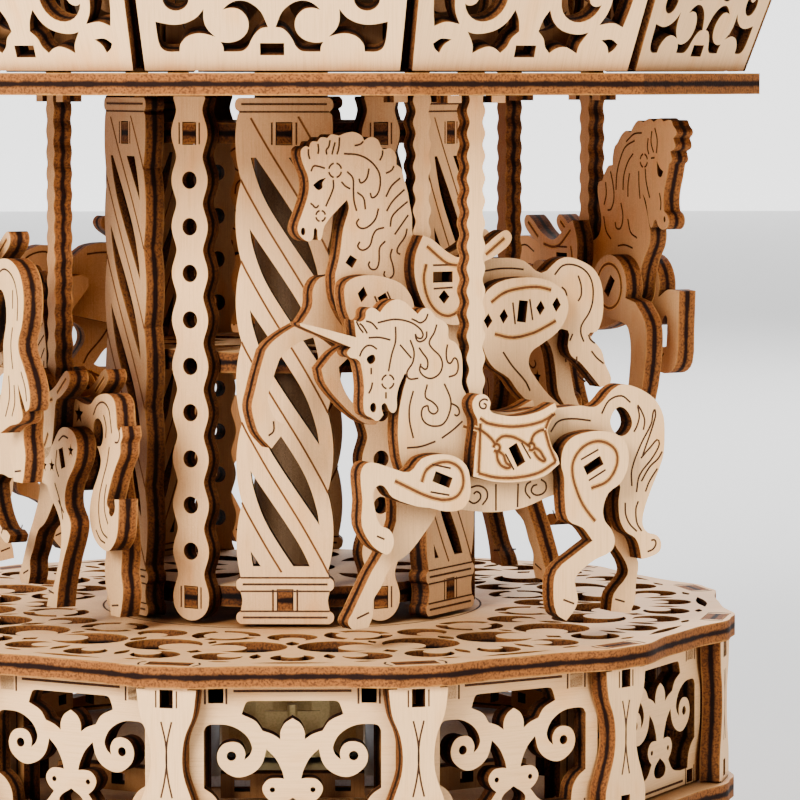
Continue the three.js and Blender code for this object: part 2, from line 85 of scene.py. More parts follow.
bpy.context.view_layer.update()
PLY = 3.0
GAP = 0.3
CAGE_TURN = -2.13
PAIR_AZIMUTH = 30
OUTER_RING = 53.0
INNER_RING = 38.0
STROKE = 20.0
BASE_TOP = span("movement_bed")[0].z - GAP
DECK_BOTTOM = span("deck")[0].z
DECK_TOP = span("deck")[1].z
CANOPY_BOTTOM = span("canopy_plate")[0].z
CANOPY_TOP = span("canopy_plate")[1].z
FINIAL_LOW = span("finial")[0].z
FINIAL_TOP = span("finial")[1].z
DRUM_HEIGHT = DECK_BOTTOM - BASE_TOP
CAGE_HEIGHT = CANOPY_BOTTOM - DECK_TOP
PANEL_FACE = 61.0
PILASTER_FACE = 65.84
COLUMN_FACE = 27.5
CANOPY_RADIUS = 69.4
FASCIA_LEAN = 20
FASCIA_SLOPE = 18 / math.cos(math.radians(FASCIA_LEAN))
ROOF_RADIUS = 63.5
ROOF_DRUM = 20.0
ROOF_HEIGHT = 66.0
CROWN_RADIUS = 14.0
POST_CLEAR = 6.5


# --- finishes ---


class Finish(Enum):
    """The materials that the object is made of."""

    BIRCH = "birch_face"
    PLY_EDGE = "ply_edge"
    CHAR = "char_line"
    BURN = "burnt_groove"
    SCORCH = "scorch"
    BLOCK = "birch_block"
    STEEL = "steel"
    BRASS = "brass"
    FLOOR = "floor"
    BACKDROP = "backdrop"


@dataclass(frozen=True)
class Tint:
    """Colours of one finish, linear red, green and blue."""

    base: tuple[float, float, float]
    shade: tuple[float, float, float]
    warm: tuple[float, float, float]
    roughness: float
    metallic: float = 0.0
    gloss: float = 0.08
    glow: float = 0.0


TINTS: dict[Finish, Tint] = {
    Finish.BIRCH: Tint((0.92, 0.55, 0.25), (0.6, 0.29, 0.1), (0.88, 0.4, 0.11), 0.6, 0.0, 0.2),
    Finish.PLY_EDGE: Tint((0.27, 0.09, 0.02), (0.012, 0.004, 0.002), (0.55, 0.25, 0.06), 0.75),
    Finish.CHAR: Tint((0.06, 0.025, 0.012), (0.02, 0.01, 0.006), (0.1, 0.04, 0.02), 0.85),
    Finish.BURN: Tint((0.11, 0.036, 0.011), (0.06, 0.022, 0.01), (0.3, 0.11, 0.03), 0.8),
    Finish.SCORCH: Tint((0.66, 0.33, 0.1), (0.5, 0.22, 0.06), (0.74, 0.4, 0.13), 0.7),
    Finish.STEEL: Tint((0.62, 0.63, 0.65), (0.5, 0.51, 0.53), (0.7, 0.7, 0.7), 0.32, 1.0, 0.5),
    Finish.BRASS: Tint((0.72, 0.52, 0.22), (0.6, 0.42, 0.16), (0.8, 0.6, 0.3), 0.34, 1.0, 0.5),
    Finish.FLOOR: Tint((0.88, 0.88, 0.88), (0.86, 0.86, 0.86), (0.89, 0.89, 0.89), 0.9, 0.0, 0.1, 0.4),
    Finish.BACKDROP: Tint((0.92, 0.92, 0.92), (0.9, 0.9, 0.9), (0.93, 0.93, 0.93), 0.9, 0.0, 0.1, 2.0),
}


class Graph:
    """A short way to add and link shader nodes in one tree."""

    def __init__(self, tree: bpy.types.NodeTree) -> None:
        """Takes the tree that the nodes go in."""
        self.tree = tree

    def add(self, kind: str, **inputs: object) -> bpy.types.Node:
        """Adds a node.

        Args:
            kind: the node's type name without "ShaderNode".
            **inputs: sockets by name, with spaces as underscores, set to a value or linked to a socket.

        Returns:
            The new node.
        """
        node = self.tree.nodes.new("ShaderNode" + kind)
        for key, value in inputs.items():
            self.feed(node.inputs[key.replace("_", " ")], value)
        return node

    def feed(self, socket: bpy.types.NodeSocket, value: object) -> None:
        """Links a socket to another one or sets its value.

        Args:
            socket: the socket to fill.
            value: a socket to link, or a plain value.
        """
        if isinstance(value, bpy.types.NodeSocket):
            self.tree.links.new(value, socket)
        else:
            socket.default_value = value

    def math(self, operation: str, *values: object) -> bpy.types.NodeSocket:
        """A maths node's result.

        Args:
            operation: its name in Blender.
            *values: sockets or numbers.

        Returns:
            The output socket.
        """
        node = self.tree.nodes.new("ShaderNodeMath")
        node.operation = operation
        for socket, value in zip(node.inputs, values):
            self.feed(socket, value)
        return node.outputs[0]

    def ramp(self, factor: object, low: float, high: float) -> bpy.types.NodeSocket:
        """A smooth 0 to 1 rise of a value between two limits.

        Args:
            factor: the value.
            low: where the rise starts.
            high: where it ends.

        Returns:
            The output socket.
        """
        node = self.add("MapRange", Value=factor, From_Min=low, From_Max=high)
        node.interpolation_type = "SMOOTHSTEP"
        return node.outputs["Result"]

    def mix(self, factor: object, a: object, b: object) -> bpy.types.NodeSocket:
        """A blend of two colours.

        Args:
            factor: the second colour's share.
            a: the first colour.
            b: the second colour.

        Returns:
            The output socket.
        """
        node = self.tree.nodes.new("ShaderNodeMix")
        node.data_type = "RGBA"
        self.feed(node.inputs["Factor"], factor)
        for name, value in (("A", a), ("B", b)):
            socket = [s for s in node.inputs if s.name == name and s.type == "RGBA"][0]
            self.feed(socket, value)
        return [s for s in node.outputs if s.type == "RGBA"][0]

    def noise(self, vector: object, scale: float, detail: float = 3.0) -> bpy.types.NodeSocket:
        """A noise value at a vector."""
        return self.add("TexNoise", Vector=vector, Scale=scale, Detail=detail).outputs["Fac"]

    def stretched(self, vector: object, scale: tuple[float, float, float]) -> bpy.types.NodeSocket:
        """A vector scaled by a different factor along each axis."""
        return self.add("Mapping", Vector=vector, Scale=scale).outputs["Vector"]


def new_group(name: str, inputs: dict[str, str], outputs: dict[str, str]) -> tuple[bpy.types.NodeTree, Graph]:
    """Makes an empty node group.

    Args:
        name: the group's name.
        inputs: socket types by name.
        outputs: socket types by name.

    Returns:
        The group and a graph to fill it with.
    """
    group = bpy.data.node_groups.new(name, "ShaderNodeTree")
    for in_out, sockets in (("INPUT", inputs), ("OUTPUT", outputs)):
        for label, kind in sockets.items():
            group.interface.new_socket(name=label, in_out=in_out, socket_type=kind)
    return group, Graph(group)


def grain_group() -> bpy.types.NodeTree:
    """The figure of birch: fine fibres, warm patches and pores, from a vector whose Y runs with the grain.

    Returns:
        The node group.
    """
    value = "NodeSocketFloat"
    group, g = new_group(
        "birch_grain", {"Vector": "NodeSocketVector"}, {"Fibre": value, "Warm": value, "Pore": value},
    )
    entry = group.nodes.new("NodeGroupInput").outputs["Vector"]
    fibre = g.noise(g.stretched(entry, (5.5, 0.16, 1)), 1.0, 4.0)
    band = g.noise(g.stretched(entry, (0.55, 0.03, 1)), 1.0, 2.0)
    patch = g.noise(g.stretched(entry, (0.2, 0.09, 1)), 1.0, 2.5)
    pore = g.noise(g.stretched(entry, (9.0, 0.8, 1)), 1.0, 1.0)
    leave = group.nodes.new("NodeGroupOutput")
    fine = g.ramp(fibre, 0.42, 0.72)
    broad = g.math("MULTIPLY", band, 0.3)
    g.feed(leave.inputs["Fibre"], g.math("MULTIPLY_ADD", fine, 0.7, broad))
    g.feed(leave.inputs["Warm"], g.ramp(patch, 0.52, 0.74))
    g.feed(leave.inputs["Pore"], g.ramp(pore, 0.68, 0.8))
    return group


def speckle_group() -> bpy.types.NodeTree:
    """Fine charring speckle from a vector in metres.

    Returns:
        The node group.
    """
    value = "NodeSocketFloat"
    group, g = new_group("char_speckle", {"Vector": "NodeSocketVector"}, {"Speckle": value, "Drift": value})
    entry = group.nodes.new("NodeGroupInput").outputs["Vector"]
    leave = group.nodes.new("NodeGroupOutput")
    g.feed(leave.inputs["Speckle"], g.ramp(g.noise(entry, 3200.0, 2.0), 0.4, 0.66))
    g.feed(leave.inputs["Drift"], g.noise(entry, 420.0, 3.0))
    return group


def colour(rgb: tuple[float, float, float]) -> tuple[float, float, float, float]:
    """A colour with full alpha."""
    return (*rgb, 1.0)


EDGE_SOOT = (0.07, 0.024, 0.009)  # colour of the dark specks on a cut edge
SHADE_REACH = 0.03  # metres within which a neighbouring piece darkens the wood as painted shade
FACE_RELIEF = 0.00005  # metres that the fibres rise on a face
EDGE_RELIEF = 0.00008  # metres that the specks rise on a cut edge
BLOCK_SHADE_TONE = 0.45  # brightness of solid birch, kept low as painted shade for the post inside the drum and cage


@dataclass
class Paints:
    """All materials, made once."""

    grain: bpy.types.NodeTree = field(default_factory=grain_group)
    speckle: bpy.types.NodeTree = field(default_factory=speckle_group)
    made: dict[Finish, bpy.types.Material] = field(default_factory=dict)

    def __getitem__(self, finish: Finish) -> bpy.types.Material:
        """The material of a finish, made when it is first asked for."""
        if finish not in self.made:
            self.made[finish] = self._make(finish)
        return self.made[finish]

    def _make(self, finish: Finish) -> bpy.types.Material:
        """Builds one material.

        Args:
            finish: which finish.

        Returns:
            The material.
        """
        tint = TINTS[Finish.BIRCH if finish is Finish.BLOCK else finish]
        material = bpy.data.materials.new(finish.value)
        material.use_nodes = True
        g = Graph(material.node_tree)
        shader = material.node_tree.nodes["Principled BSDF"]
        shader.inputs["Roughness"].default_value = tint.roughness
        shader.inputs["Metallic"].default_value = tint.metallic
        shader.inputs["Specular IOR Level"].default_value = tint.gloss
        shader.inputs["Emission Color"].default_value = colour(tint.base)
        shader.inputs["Emission Strength"].default_value = tint.glow
        material.diffuse_color = colour(tint.base)
        look: dict[Finish, Callable[[Graph, bpy.types.Node, Tint], None]] = {
            Finish.BIRCH: self._birch_face,
            Finish.BLOCK: self._birch_block,
            Finish.PLY_EDGE: self._ply_edge,
        }
        look.get(finish, self._speckled)(g, shader, tint)
        return material

    def _grained(self, g: Graph, shader: bpy.types.Node, tint: Tint, vector: object, tone: object) -> None:
        """Colours a shader as birch from a vector in millimetres.

        Args:
            g: its graph.
            shader: its shader.
            tint: its colours.
            vector: place on the wood, with Y along the grain.
            tone: brightness.
        """
        grain = self._use(g, self.grain, vector)
        warm = g.math("MULTIPLY", grain.outputs["Warm"], 0.5)
        wood = g.mix(warm, colour(tint.base), colour(tint.warm))
        fibre = g.math("MULTIPLY", grain.outputs["Fibre"], 0.42)
        wood = g.mix(fibre, wood, colour(tint.shade))
        wood = g.mix(g.math("MULTIPLY", grain.outputs["Pore"], 0.3), wood, colour(tint.shade))
        bright = g.add("HueSaturation", Color=wood, Saturation=1.0, Value=tone)
        # the wood gets painted shade where other pieces stand close by
        g.feed(shader.inputs["Base Color"], self._painted_shade(g, bright.outputs["Color"]))
        bump = g.add("Bump", Height=grain.outputs["Fibre"], Strength=0.12, Distance=FACE_RELIEF)
        g.feed(shader.inputs["Normal"], bump.outputs["Normal"])

    @staticmethod
    def _painted_shade(g: Graph, wood: object) -> bpy.types.NodeSocket:
        """Wood darkened with painted shade where other pieces stand close by.

        Args:
            g: its graph.
            wood: the colour of clean wood.

        Returns:
            The colour darkened by the painted shade.
        """
        # painted shade: ambient occlusion darkens the colour near other pieces
        near = g.add("AmbientOcclusion", Distance=SHADE_REACH)
        near.samples = 6
        clear = g.ramp(near.outputs["AO"], 0.12, 0.85)
        dark = g.add("Gamma", Color=wood, Gamma=1.9)
        deep = g.add("HueSaturation", Color=dark.outputs["Color"], Saturation=1.0, Value=0.3)
        return g.mix(clear, deep.outputs["Color"], wood)

    def _birch_face(self, g: Graph, shader: bpy.types.Node, tint: Tint) -> None:
        """A sheet's face, with the grain on the sheet's own map.

        Args:
            g: its graph.
            shader: its shader.
            tint: its colours.
        """
        sheet_map = g.add("UVMap")
        sheet_map.uv_map = "sheet"
        tone = g.add("Attribute")
        tone.attribute_name = "tone"
        bright = g.math("MULTIPLY_ADD", tone.outputs["Fac"], 0.14, 0.95)
        self._grained(g, shader, tint, sheet_map.outputs["UV"], bright)

    def _birch_block(self, g: Graph, shader: bpy.types.Node, tint: Tint) -> None:
        """Solid birch, with upright grain, darkened as painted shade.

        Args:
            g: its graph.
            shader: its shader.
            tint: its colours.
        """
        place = g.add("TexCoord").outputs["Object"]
        vector = g.stretched(place, (1 / MM, 1 / MM, 1 / MM))
        split = g.add("SeparateXYZ", Vector=vector)
        across = g.math("ADD", split.outputs["X"], split.outputs["Y"])
        joined = g.add("CombineXYZ", X=across, Y=split.outputs["Z"])
        # the low tone paints shade on the post inside the drum and cage
        self._grained(g, shader, tint, joined.outputs["Vector"], BLOCK_SHADE_TONE)

    def _ply_edge(self, g: Graph, shader: bpy.types.Node, tint: Tint) -> None:
        """A cut edge: two golden-brown plies with a near-black core between them.

        Args:
            g: its graph.
            shader: its shader.
            tint: its colours.
        """
        place = g.add("TexCoord").outputs["Object"]
        speckle = self._use(g, self.speckle, place)
        depth = g.add("Attribute")
        depth.attribute_name = "depth"
        height = g.math("ABSOLUTE", depth.outputs["Fac"])
        wander = g.math("MULTIPLY_ADD", speckle.outputs["Drift"], 0.36, -0.18)
        level = g.math("ADD", height, wander)
        outer = g.ramp(level, 0.12, 0.42)
        rim = g.ramp(level, 0.8, 1.02)
        soot = g.math("MULTIPLY", speckle.outputs["Speckle"], 0.8)
        brown = g.mix(soot, colour(tint.base), colour(EDGE_SOOT))
        brown = g.mix(g.math("MULTIPLY", rim, 0.55), brown, colour(tint.warm))
        wood = g.mix(outer, colour(tint.shade), brown)
        # the edge gets painted shade where other pieces stand close by
        g.feed(shader.inputs["Base Color"], self._painted_shade(g, wood))
        bump = g.add("Bump", Height=speckle.outputs["Speckle"], Strength=0.25, Distance=EDGE_RELIEF)
        g.feed(shader.inputs["Normal"], bump.outputs["Normal"])

    def _speckled(self, g: Graph, shader: bpy.types.Node, tint: Tint) -> None:
        """A plain finish with a little variation.

        Args:
            g: its graph.
            shader: its shader.
            tint: its colours.
        """
        speckle = self._use(g, self.speckle, g.add("TexCoord").outputs["Object"])
        tone = g.mix(speckle.outputs["Speckle"], colour(tint.base), colour(tint.shade))
        tone = g.mix(g.math("MULTIPLY", speckle.outputs["Drift"], 0.4), tone, colour(tint.warm))
        g.feed(shader.inputs["Base Color"], tone)

    @staticmethod
    def _use(g: Graph, group: bpy.types.NodeTree, vector: object) -> bpy.types.Node:
        """A node that runs a group on a vector.

        Args:
            g: its graph.
            group: the node group.
            vector: what it reads.

        Returns:
            The group's node.
        """
        node = g.add("Group")
        node.node_tree = group
        g.feed(node.inputs["Vector"], vector)
        return node


# --- flat shapes ---


def polar(radius: float, azimuth: float) -> Point:
    """A point on the plan; azimuth 0 is the front and grows towards +X."""
    a = math.radians(azimuth)
    return (radius * math.sin(a), -radius * math.cos(a))


def smooth(points: Loop, closed: bool = True, steps: int = 5) -> Loop:
    """A curve through points, sharp at the cusps.

    Args:
        points: the points, with a third item at a cusp.
        closed: whether the last point joins the first.
        steps: pieces between two points.

    Returns:
        The finer points.
    """
    count = len(points)
    cusp = [len(p) > 2 or (not closed and i in (0, count - 1)) for i, p in enumerate(points)]
    place = [Vector(p[:2]) for p in points]
    fine: Loop = []
    for i in range(count if closed else count - 1):
        j = (i + 1) % count
        a, b = place[i], place[j]
        length = (b - a).length
        before = place[i - 1]
        after = place[(j + 1) % count]
        start = (b - a) if cusp[i] else (b - before).normalized() * length
        end = (b - a) if cusp[j] else (after - a).normalized() * length
        pieces = 1 if cusp[i] and cusp[j] else steps
        for k in range(pieces):
            t = k / pieces
            h1, h2 = 2 * t**3 - 3 * t**2 + 1, t**3 - 2 * t**2 + t
            h3, h4 = -2 * t**3 + 3 * t**2, t**3 - t**2
            fine.append(tuple(h1 * a + h2 * start + h3 * b + h4 * end))
    if not closed:
        fine.append(tuple(place[-1]))
    return fine


def arc(x: float, y: float, radius: float, start: float, end: float, steps: int = 16) -> Loop:
    """Points of an arc, in degrees from +X, counter-clockwise when end is past start."""
    turn = [math.radians(start + (end - start) * i / steps) for i in range(steps + 1)]
    return [(x + radius * math.cos(a), y + radius * math.sin(a)) for a in turn]


def circle(x: float, y: float, radius: float, steps: int = 24) -> Loop:
    """A round opening."""
    return arc(x, y, radius, 0, 360, steps)[:-1]


def rectangle(x: float, y: float, width: float, height: float, turn: float = 0) -> Loop:
    """A rectangle about its centre, turned by degrees."""
    w, h = width / 2, height / 2
    return moved([(-w, -h), (w, -h), (w, h), (-w, h)], x, y, turn)


def diamond(x: float, y: float, width: float, height: float, turn: float = 0) -> Loop:
    """A diamond about its centre."""
    return moved([(0, -height / 2), (width / 2, 0), (0, height / 2), (-width / 2, 0)], x, y, turn)


def star(x: float, y: float, radius: float, turn: float = 0) -> Loop:
    """A five-pointed star."""
    tips = [(radius if i % 2 == 0 else radius * 0.42, math.radians(90 + 36 * i + turn)) for i in range(10)]
    return [(x + r * math.cos(a), y + r * math.sin(a)) for r, a in tips]


def crescent(x: float, y: float, radius: float, disc: float, towards: float, steps: int = 22) -> Loop:
    """A round opening with a solid disc left in it that touches its edge on one side.

    Args:
        x: the opening's centre.
        y: the opening's centre.
        radius: the opening's radius.
        disc: the disc's radius.
        towards: direction of the side that the disc is joined to, degrees.
        steps: pieces of each arc.

    Returns:
        The opening's outline.
    """
    shift = radius - 0.72 * disc
    reach = (radius**2 - disc**2 + shift**2) / (2 * shift)
    half = math.degrees(math.acos(max(-1, min(1, reach / radius))))
    back = math.degrees(math.acos(max(-1, min(1, (shift - reach) / disc))))
    a = math.radians(towards)
    outer = arc(x, y, radius, towards + half, towards + 360 - half, steps)
    turned = towards + 180
    inner = arc(x + shift * math.cos(a), y + shift * math.sin(a), disc, turned + back, turned - back, steps)
    return outer + inner[1:-1]


def leaf(x: float, y: float, length: float, width: float, turn: float = 0) -> Loop:
    """A pointed leaf.

    Args:
        x: the middle's x.
        y: the middle's y.
        length: from tip to tip.
        width: at its widest.
        turn: degrees.

    Returns:
        The outline.
    """
    tip, broad, slim = length / 2, width / 2, width / 2.2
    upper: Loop = [(-tip, 0, CUSP), (-tip / 3, broad), (tip / 3, slim)]
    lower: Loop = [(tip, 0, CUSP), (tip / 3, -slim), (-tip / 3, -broad)]
    return moved(smooth(upper + lower), x, y, turn)


def moved(loop: Iterable[Point], x: float, y: float, turn: float = 0) -> Loop:
    """A loop turned by degrees, then moved."""
    c, s = math.cos(math.radians(turn)), math.sin(math.radians(turn))
    return [(x + c * p[0] - s * p[1], y + s * p[0] + c * p[1], *p[2:]) for p in loop]


def swung(loop: Iterable[Point], azimuth: float) -> Loop:
    """A loop on the plan, carried round the axis by an azimuth."""
    return [polar(math.hypot(*p[:2]), math.degrees(math.atan2(p[0], -p[1])) + azimuth) for p in loop]


def mirrored(loop: Iterable[Point]) -> Loop:
    """A loop's mirror image about x = 0."""
    return [(-p[0], *p[1:]) for p in loop]


def both(loops: list[Loop]) -> list[Loop]:
    """Loops and their mirror images."""
    return loops + [mirrored(loop) for loop in loops]


def flipped(loop: Iterable[Point], middle: float) -> Loop:
    """A loop's image upside down about a height."""
    return [(p[0], 2 * middle - p[1], *p[2:]) for p in loop]


def clipped(loop: Loop, low: float, high: float) -> Loop:
    """The part of a loop between two heights.

    Args:
        loop: the loop.
        low: the lower height.
        high: the upper height.

    Returns:
        The part's outline, empty if nothing is left.
    """
    for limit, sign in ((low, 1), (high, -1)):
        kept: Loop = []
        for i, b in enumerate(loop):
            a = loop[i - 1]
            inside_a, inside_b = sign * (a[1] - limit) >= 0, sign * (b[1] - limit) >= 0
            if inside_a != inside_b:
                t = (limit - a[1]) / (b[1] - a[1])
                kept.append((a[0] + (b[0] - a[0]) * t, limit))
            if inside_b:
                kept.append(b)
        loop = kept
    return loop


def clipped_line(line: Loop, low: float, high: float) -> Loop:
    """The part of an open line between two heights."""
    return [p for p in line if low <= p[1] <= high]


# --- sheets ---

SHEET_FINISHES = (Finish.BIRCH, Finish.PLY_EDGE, Finish.CHAR, Finish.BURN, Finish.SCORCH)
LINE_RISE = 0.03
HALO_RISE = 0.012
HALO_WIDTH = 2.0  # against the width of the line that it runs beside


@dataclass(frozen=True)
class Line:
    """A line burnt in a sheet's face.

    Attributes:
        points: the route in the sheet's plane.
        width: millimetres.
        finish: its colour.
        halo: whether the wood beside it is scorched.
    """

    points: Loop
    width: float = 0.2
    finish: Finish = Finish.CHAR
    halo: bool = False


def cuts(lines: Iterable[Loop], width: float = 0.26) -> list[Line]:
    """Thin dark lines, smooth through their points."""
    return [
        Line(smooth(points, closed=False, steps=4) if len(points) > 2 else points, width)
        for points in lines
    ]


def burns(lines: Iterable[Loop], width: float = 0.38) -> list[Line]:
    """Wide burnt lines with scorched sides."""
    return [
        Line(smooth(points, closed=False, steps=5) if len(points) > 2 else points, width, Finish.BURN, True)
        for points in lines
    ]


@dataclass
class Sheet:
    """One piece of plywood.

    Attributes:
        outline: its edge, in millimetres.
        holes: openings, clear of each other and of the edge.
        lines: lines on both faces.
        thickness: millimetres.
        upright: whether the grain runs along the shape's y.
    """

    outline: Loop
    holes: list[Loop] = field(default_factory=list)
    lines: list[Line] = field(default_factory=list)
    thickness: float = PLY
    upright: bool = True

    def mesh(self, name: str) -> bpy.types.Mesh:
        """The sheet as a mesh in millimetres about its middle plane.

        Args:
            name: the mesh's name.

        Returns:
            The mesh, with the sheet's map, depth and tone.
        """
        curve = bpy.data.curves.new(name, "CURVE")
        curve.dimensions = "2D"
        curve.fill_mode = "BOTH"
        curve.extrude = self.thickness / 2
        for loop in [self.outline, *self.holes]:
            spline = curve.splines.new("POLY")
            spline.points.add(len(loop) - 1)
            for point, place in zip(spline.points, loop):
                point.co = (place[0], place[1], 0, 1)
            spline.use_cyclic_u = True
        holder = bpy.data.objects.new(name + "_curve", curve)
        bpy.context.scene.collection.objects.link(holder)
        mesh = bpy.data.meshes.new_from_object(holder.evaluated_get(bpy.context.evaluated_depsgraph_get()))
        bpy.data.objects.remove(holder)
        bpy.data.curves.remove(curve)
        work = bmesh.new()
        work.from_mesh(mesh)
        bmesh.ops.remove_doubles(work, verts=work.verts, dist=1e-4)
        bmesh.ops.recalc_face_normals(work, faces=work.faces)
        work.normal_update()
        for face in work.faces:
            face.smooth = False
            surface = Finish.BIRCH if abs(face.normal.z) > 0.5 else Finish.PLY_EDGE
            face.material_index = SHEET_FINISHES.index(surface)
        for line in self.lines:
            self._burn(work, line)
        self._mark(work, name)
        work.to_mesh(mesh)
        work.free()
        mesh.name = name
        return mesh

    def _burn(self, work: bmesh.types.BMesh, line: Line) -> None:
        """Adds one line to both faces as a thin closed strip.

        Args:
            work: the sheet's mesh.
            line: the line.
        """
        passes = [(line.width, LINE_RISE, line.finish)]
        if line.halo:
            passes.append((line.width * HALO_WIDTH, HALO_RISE, Finish.SCORCH))
        for width, rise, finish in passes:
            slot = SHEET_FINISHES.index(finish)
            for side in (-1, 1):
                self._strip(work, line.points, width, side * self.thickness / 2, side * rise, slot)

    @staticmethod
    def _strip(
        work: bmesh.types.BMesh, points: Loop, width: float, foot: float, rise: float, slot: int,
    ) -> None:
        """A strip along points, from inside the face up to a small height over it.

        Args:
            work: the sheet's mesh.
            points: the route.
            width: the strip across.
            foot: height of the face.
            rise: how far it goes past the face.
            slot: index of its finish.
        """
        rings = []
        count = len(points)
        for i, p in enumerate(points):
            a, b = Vector(points[max(i - 1, 0)][:2]), Vector(points[min(i + 1, count - 1)][:2])
            ahead = (b - a).normalized()
            side = Vector((-ahead.y, ahead.x)) * width / 2
            ring = []
            for sign, z in ((-1, foot - rise), (1, foot - rise), (1, foot + rise), (-1, foot + rise)):
                ring.append(work.verts.new((p[0] + sign * side.x, p[1] + sign * side.y, z)))
            rings.append(ring)
        faces = [work.faces.new(rings[0]), work.faces.new(rings[-1])]
        for a, b in zip(rings, rings[1:]):
            for k in range(4):
                faces.append(work.faces.new((a[k], a[(k + 1) % 4], b[(k + 1) % 4], b[k])))
        for face in faces:
            face.material_index = slot
        bmesh.ops.recalc_face_normals(work, faces=faces)

    def _mark(self, work: bmesh.types.BMesh, name: str) -> None:
        """Writes the sheet's map, each point's depth and the sheet's tone.

        Args:
            work: the sheet's mesh.
            name: the piece's name, which sets its tone.
        """
        chance = zlib.crc32(name.encode())
        tone = (chance % 1000) / 1000
        shift = Vector(((chance >> 10) % 97, (chance >> 17) % 89))
        uv = work.loops.layers.uv.new("sheet")
        depth = work.verts.layers.float.new("depth")
        shade = work.verts.layers.float.new("tone")
        for vert in work.verts:
            vert[depth] = vert.co.z / (self.thickness / 2)
            vert[shade] = tone
        for face in work.faces:
            for corner in face.loops:
                x, y = corner.vert.co.xy
                corner[uv].uv = shift + Vector((x, y) if self.upright else (y, x))


def lying(z: float) -> Matrix:
    """Place of a sheet that lies flat with its middle at a height."""
    return Matrix.Translation((0, 0, z))


def standing(azimuth: float, radius: float, z: float = 0, lean: float = 0) -> Matrix:
    """Place of a sheet that stands facing outwards.

    Args:
        azimuth: degrees from the front.
        radius: from the axis to the sheet's middle plane, millimetres.
        z: height of the shape's y = 0.
        lean: degrees that its top leans outwards.

    Returns:
        The place, in millimetres.
    """
    upright = Matrix(((1, 0, 0, 0), (0, 0, -1, 0), (0, 1, 0, 0), (0, 0, 0, 1)))
    spin = Matrix.Rotation(math.radians(azimuth), 4, "Z")
    tilt = Matrix.Rotation(math.radians(lean), 4, "X")
    return spin @ Matrix.Translation((0, -radius, z)) @ tilt @ upright


REST_TURN = Matrix.Rotation(math.radians(CAGE_TURN), 4, "Z")  # how far round the turning part rests


def radial(azimuth: float) -> Matrix:
    """Place of a sheet that stands on edge along a radius: the shape's x is the distance from the axis."""
    upright = Matrix(((0, 0, 1, 0), (-1, 0, 0, 0), (0, 1, 0, 0), (0, 0, 0, 1)))
    return Matrix.Rotation(math.radians(azimuth), 4, "Z") @ upright


@dataclass
class Workshop:
    """Puts meshes in the scene with their finishes."""

    paints: Paints = field(default_factory=Paints)
    pieces: list[bpy.types.Object] = field(default_factory=list)

    def put(
        self, name: str, sheet: Sheet, place: Matrix, body: str, bend: Callable | None = None,
    ) -> bpy.types.Object:
        """Cuts a sheet and sets it in place.

        Args:
            name: the piece's name.
            sheet: its shape.
            place: where it goes, millimetres.
            body: the CAD body that it moves with.
            bend: what to do to the flat mesh before it is set in place.

        Returns:
            The piece.
        """
        mesh = sheet.mesh(name)
        if bend:
            bend(mesh)
        return self.settle(name, mesh, place, body, SHEET_FINISHES)

    def settle(
        self, name: str, mesh: bpy.types.Mesh, place: Matrix, body: str, finishes: Iterable[Finish]
    ) -> bpy.types.Object:
        """Sets a mesh in millimetres in place and gives it its finishes.

        Args:
            name: the piece's name.
            mesh: its mesh.
            place: where it goes, millimetres.
            body: the CAD body that it moves with.
            finishes: its finishes, by material index.

        Returns:
            The piece.
        """
        for finish in finishes:
            mesh.materials.append(self.paints[finish])
        mesh.transform(Matrix.Scale(MM, 4) @ place)
        piece = bpy.data.objects.new(name, mesh)
        bpy.context.scene.collection.objects.link(piece)
        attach(piece, body)
        self.pieces.append(piece)
        return piece

    def turn(
        self, name: str, profile: Loop, place: Matrix, body: str, finish: Finish, slot: str,
    ) -> bpy.types.Object:
        """A turned piece from [radius, height] points that start and end on the axis.

        Args:
            name: the piece's name.
            profile: the points.
            place: where it goes, millimetres.
            body: the CAD body that it moves with.
            finish: its finish.
            slot: not used.

        Returns:
            The piece.
        """
        work = bmesh.new()
        verts = [work.verts.new((r, 0, z)) for r, z in profile]
        edges = [work.edges.new(pair) for pair in zip(verts, verts[1:])]
        bmesh.ops.spin(work, geom=verts + edges, axis=(0, 0, 1), cent=(0, 0, 0), steps=40, angle=2 * math.pi)
        bmesh.ops.remove_doubles(work, verts=work.verts, dist=1e-4)
        bmesh.ops.recalc_face_normals(work, faces=work.faces)
        mesh = bpy.data.meshes.new(name)
        work.to_mesh(mesh)
        work.free()
        return self.settle(name, mesh, place, body, (finish,))


# --- the drum ---


